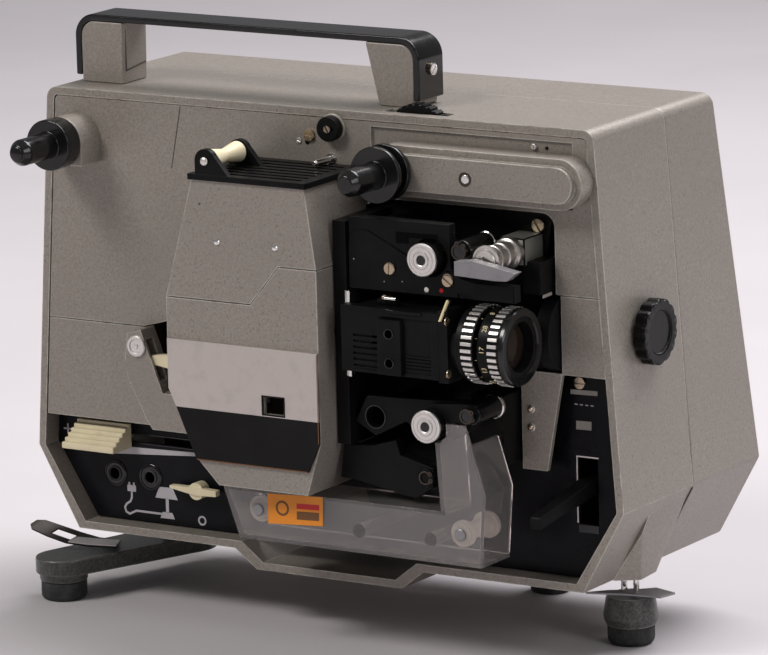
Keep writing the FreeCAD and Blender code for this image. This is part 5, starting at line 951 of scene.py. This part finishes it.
def leaf(name, rows, look, thick, gap=None):
    """A bent sheet between its front and rear edges, with an opening in the middle of one bay."""
    bm = bmesh.new()
    grid = []
    for front, back in rows:
        front, back = Vector(front), Vector(back)
        spots = [front.lerp(back, t) for t in (0, 0.27, 0.73, 1)]
        grid.append([[bm.verts.new(at(p.x, p.y, p.z + lift)) for lift in (0, thick)]
                     for p in spots])
    for i in range(len(grid) - 1):
        for k in range(3):
            if k == 1 and i == gap:
                continue
            p, q, r, t = grid[i][k], grid[i][k + 1], grid[i + 1][k + 1], grid[i + 1][k]
            bm.faces.new((p[1], q[1], r[1], t[1]))
            bm.faces.new((p[0], t[0], r[0], q[0]))
    below = {cell[1]: cell[0] for row in grid for cell in row}
    for edge in [e for e in bm.edges if len(e.link_faces) == 1]:
        a, b = edge.verts
        if a in below and b in below:
            bm.faces.new((a, b, below[b], below[a]))
    rounded(name, bm, look, "left_foot", 0.2)


leaf("foot_blade", [((-160.0, 3.2, 30.1), (-159.8, 8.0, 31.0)),
                    ((-157.4, 0.4, 29.0), (-157.0, 11.0, 30.6)),
                    ((-150.6, 2.4, 26.0), (-151.0, 15.4, 27.6)),
                    ((-143.0, 6.2, 22.8), (-143.5, 20.2, 24.2)),
                    ((-134.0, 11.5, 21.0), (-137.0, 24.6, 21.6)),
                    ((-123.4, 18.2, 20.2), (-128.8, 29.2, 20.3))], "blade", 0.8, 2)
leaf("foot_latch", [((-141.5, 5.8, 23.6), (-141.0, 12.4, 24.3)),
                    ((-134.0, 10.0, 22.3), (-134.5, 18.4, 22.9)),
                    ((-122.6, 16.4, 21.4), (-126.4, 25.6, 21.5))], "satin", 0.7)
SHEET = [(113.5, 30.5), (121.0, 38.5), (128.5, 42.5), (137.0, 51.0), (148.6, 47.0), (146.5, 38.0),
         (132.0, 36.0)]
solid("foot_post_plate", [(x, y, z) for z in (23.6, 24.5) for x, y in SHEET],
      [(0, 1, 2, 3, 4, 5, 6), (13, 12, 11, 10, 9, 8, 7)]
      + [(i, (i + 1) % 7, (i + 1) % 7 + 7, i + 7) for i in range(7)], "cast", "right_foot", 0.15)
for offset in (-POST_STEP, POST_STEP):
    lathe("post_collar_%d" % (offset + 5), [(1.45, 22.0), (2.1, 22.1), (2.2, 22.9), (1.45, 23.4)],
          "Z", (FOOT[0] + offset, FOOT[1], 0), "steel", "right_foot", 24, ring=True)

# ---- floor, light and camera -----------------------------------------------------------------

FLOOR_REACH = 6.0


def floor():
    """A pale floor, FLOOR_REACH metres to each side."""
    bm = bmesh.new()
    corners = ((-1, -1), (1, -1), (1, 1), (-1, 1))
    bm.faces.new([bm.verts.new((x * FLOOR_REACH, y * FLOOR_REACH, 0)) for x, y in corners])
    mesh = bpy.data.meshes.new("floor")
    bm.to_mesh(mesh)
    bm.free()
    g = Graph("pale_floor")
    g.link(g.mix(g.ramp(g.noise(300, 3), 0.35, 0.65), (0.50, 0.475, 0.485), (0.54, 0.515, 0.525)),
           g.shader.inputs["Base Color"])
    g.set(Roughness=0.85)
    mesh.materials.append(g.material)
    ground = bpy.data.objects.new("floor", mesh)
    bpy.context.scene.collection.objects.link(ground)


def light(name, spot, aim, size, power, colour):
    """A soft rectangular light; spot and aim are in metres, power is in watts."""
    lamp = bpy.data.lights.new(name, "AREA")
    lamp.shape = "RECTANGLE"
    lamp.size, lamp.size_y = size
    lamp.energy = power
    lamp.color = colour
    holder = bpy.data.objects.new(name, lamp)
    holder.location = Vector(spot)
    holder.rotation_euler = (Vector(aim) - holder.location).to_track_quat("-Z", "Y").to_euler()
    bpy.context.scene.collection.objects.link(holder)


def camera():
    """Looks from the front right and a little above."""
    azimuth, elevation, roll = math.radians(32.47), math.radians(11.96), math.radians(1.5)
    away = Vector((math.sin(azimuth) * math.cos(elevation),
                   -math.cos(azimuth) * math.cos(elevation), math.sin(elevation)))
    place = Vector((1.38754, -2.16416, 0.67380))
    eye = bpy.data.cameras.new("camera")
    eye.lens = 281.25
    eye.sensor_width = 36
    eye.clip_end = 50
    holder = bpy.data.objects.new("camera", eye)
    right = Vector((math.cos(azimuth), math.sin(azimuth), 0))
    up = away.cross(right)
    level = Matrix((right, up, away)).transposed()
    holder.matrix_world = (Matrix.Translation(place)
                           @ (level @ Matrix.Rotation(-roll, 3, "Z")).to_4x4())
    bpy.context.scene.collection.objects.link(holder)
    bpy.context.scene.camera = holder


floor()
light("key", (-0.9, -1.6, 1.9), (0, 0, 0.12), (0.9, 0.7), 33, (1.0, 0.97, 0.94))
light("fill", (2.2, -0.8, 1.2), (0, 0, 0.12), (0.8, 1.2), 11.5, (0.98, 0.98, 1.0))
light("top", (0.4, 0.9, 1.9), (0, 0, 0.2), (1.6, 1.4), 66, (0.99, 0.97, 1.0))
world = bpy.data.worlds.new("pale")
world.use_nodes = True
world.node_tree.nodes["Background"].inputs["Color"].default_value = (0.80, 0.79, 0.82, 1)
world.node_tree.nodes["Background"].inputs["Strength"].default_value = 0.22
bpy.context.scene.world = world
bpy.context.scene.view_settings.view_transform = "Standard"
camera()
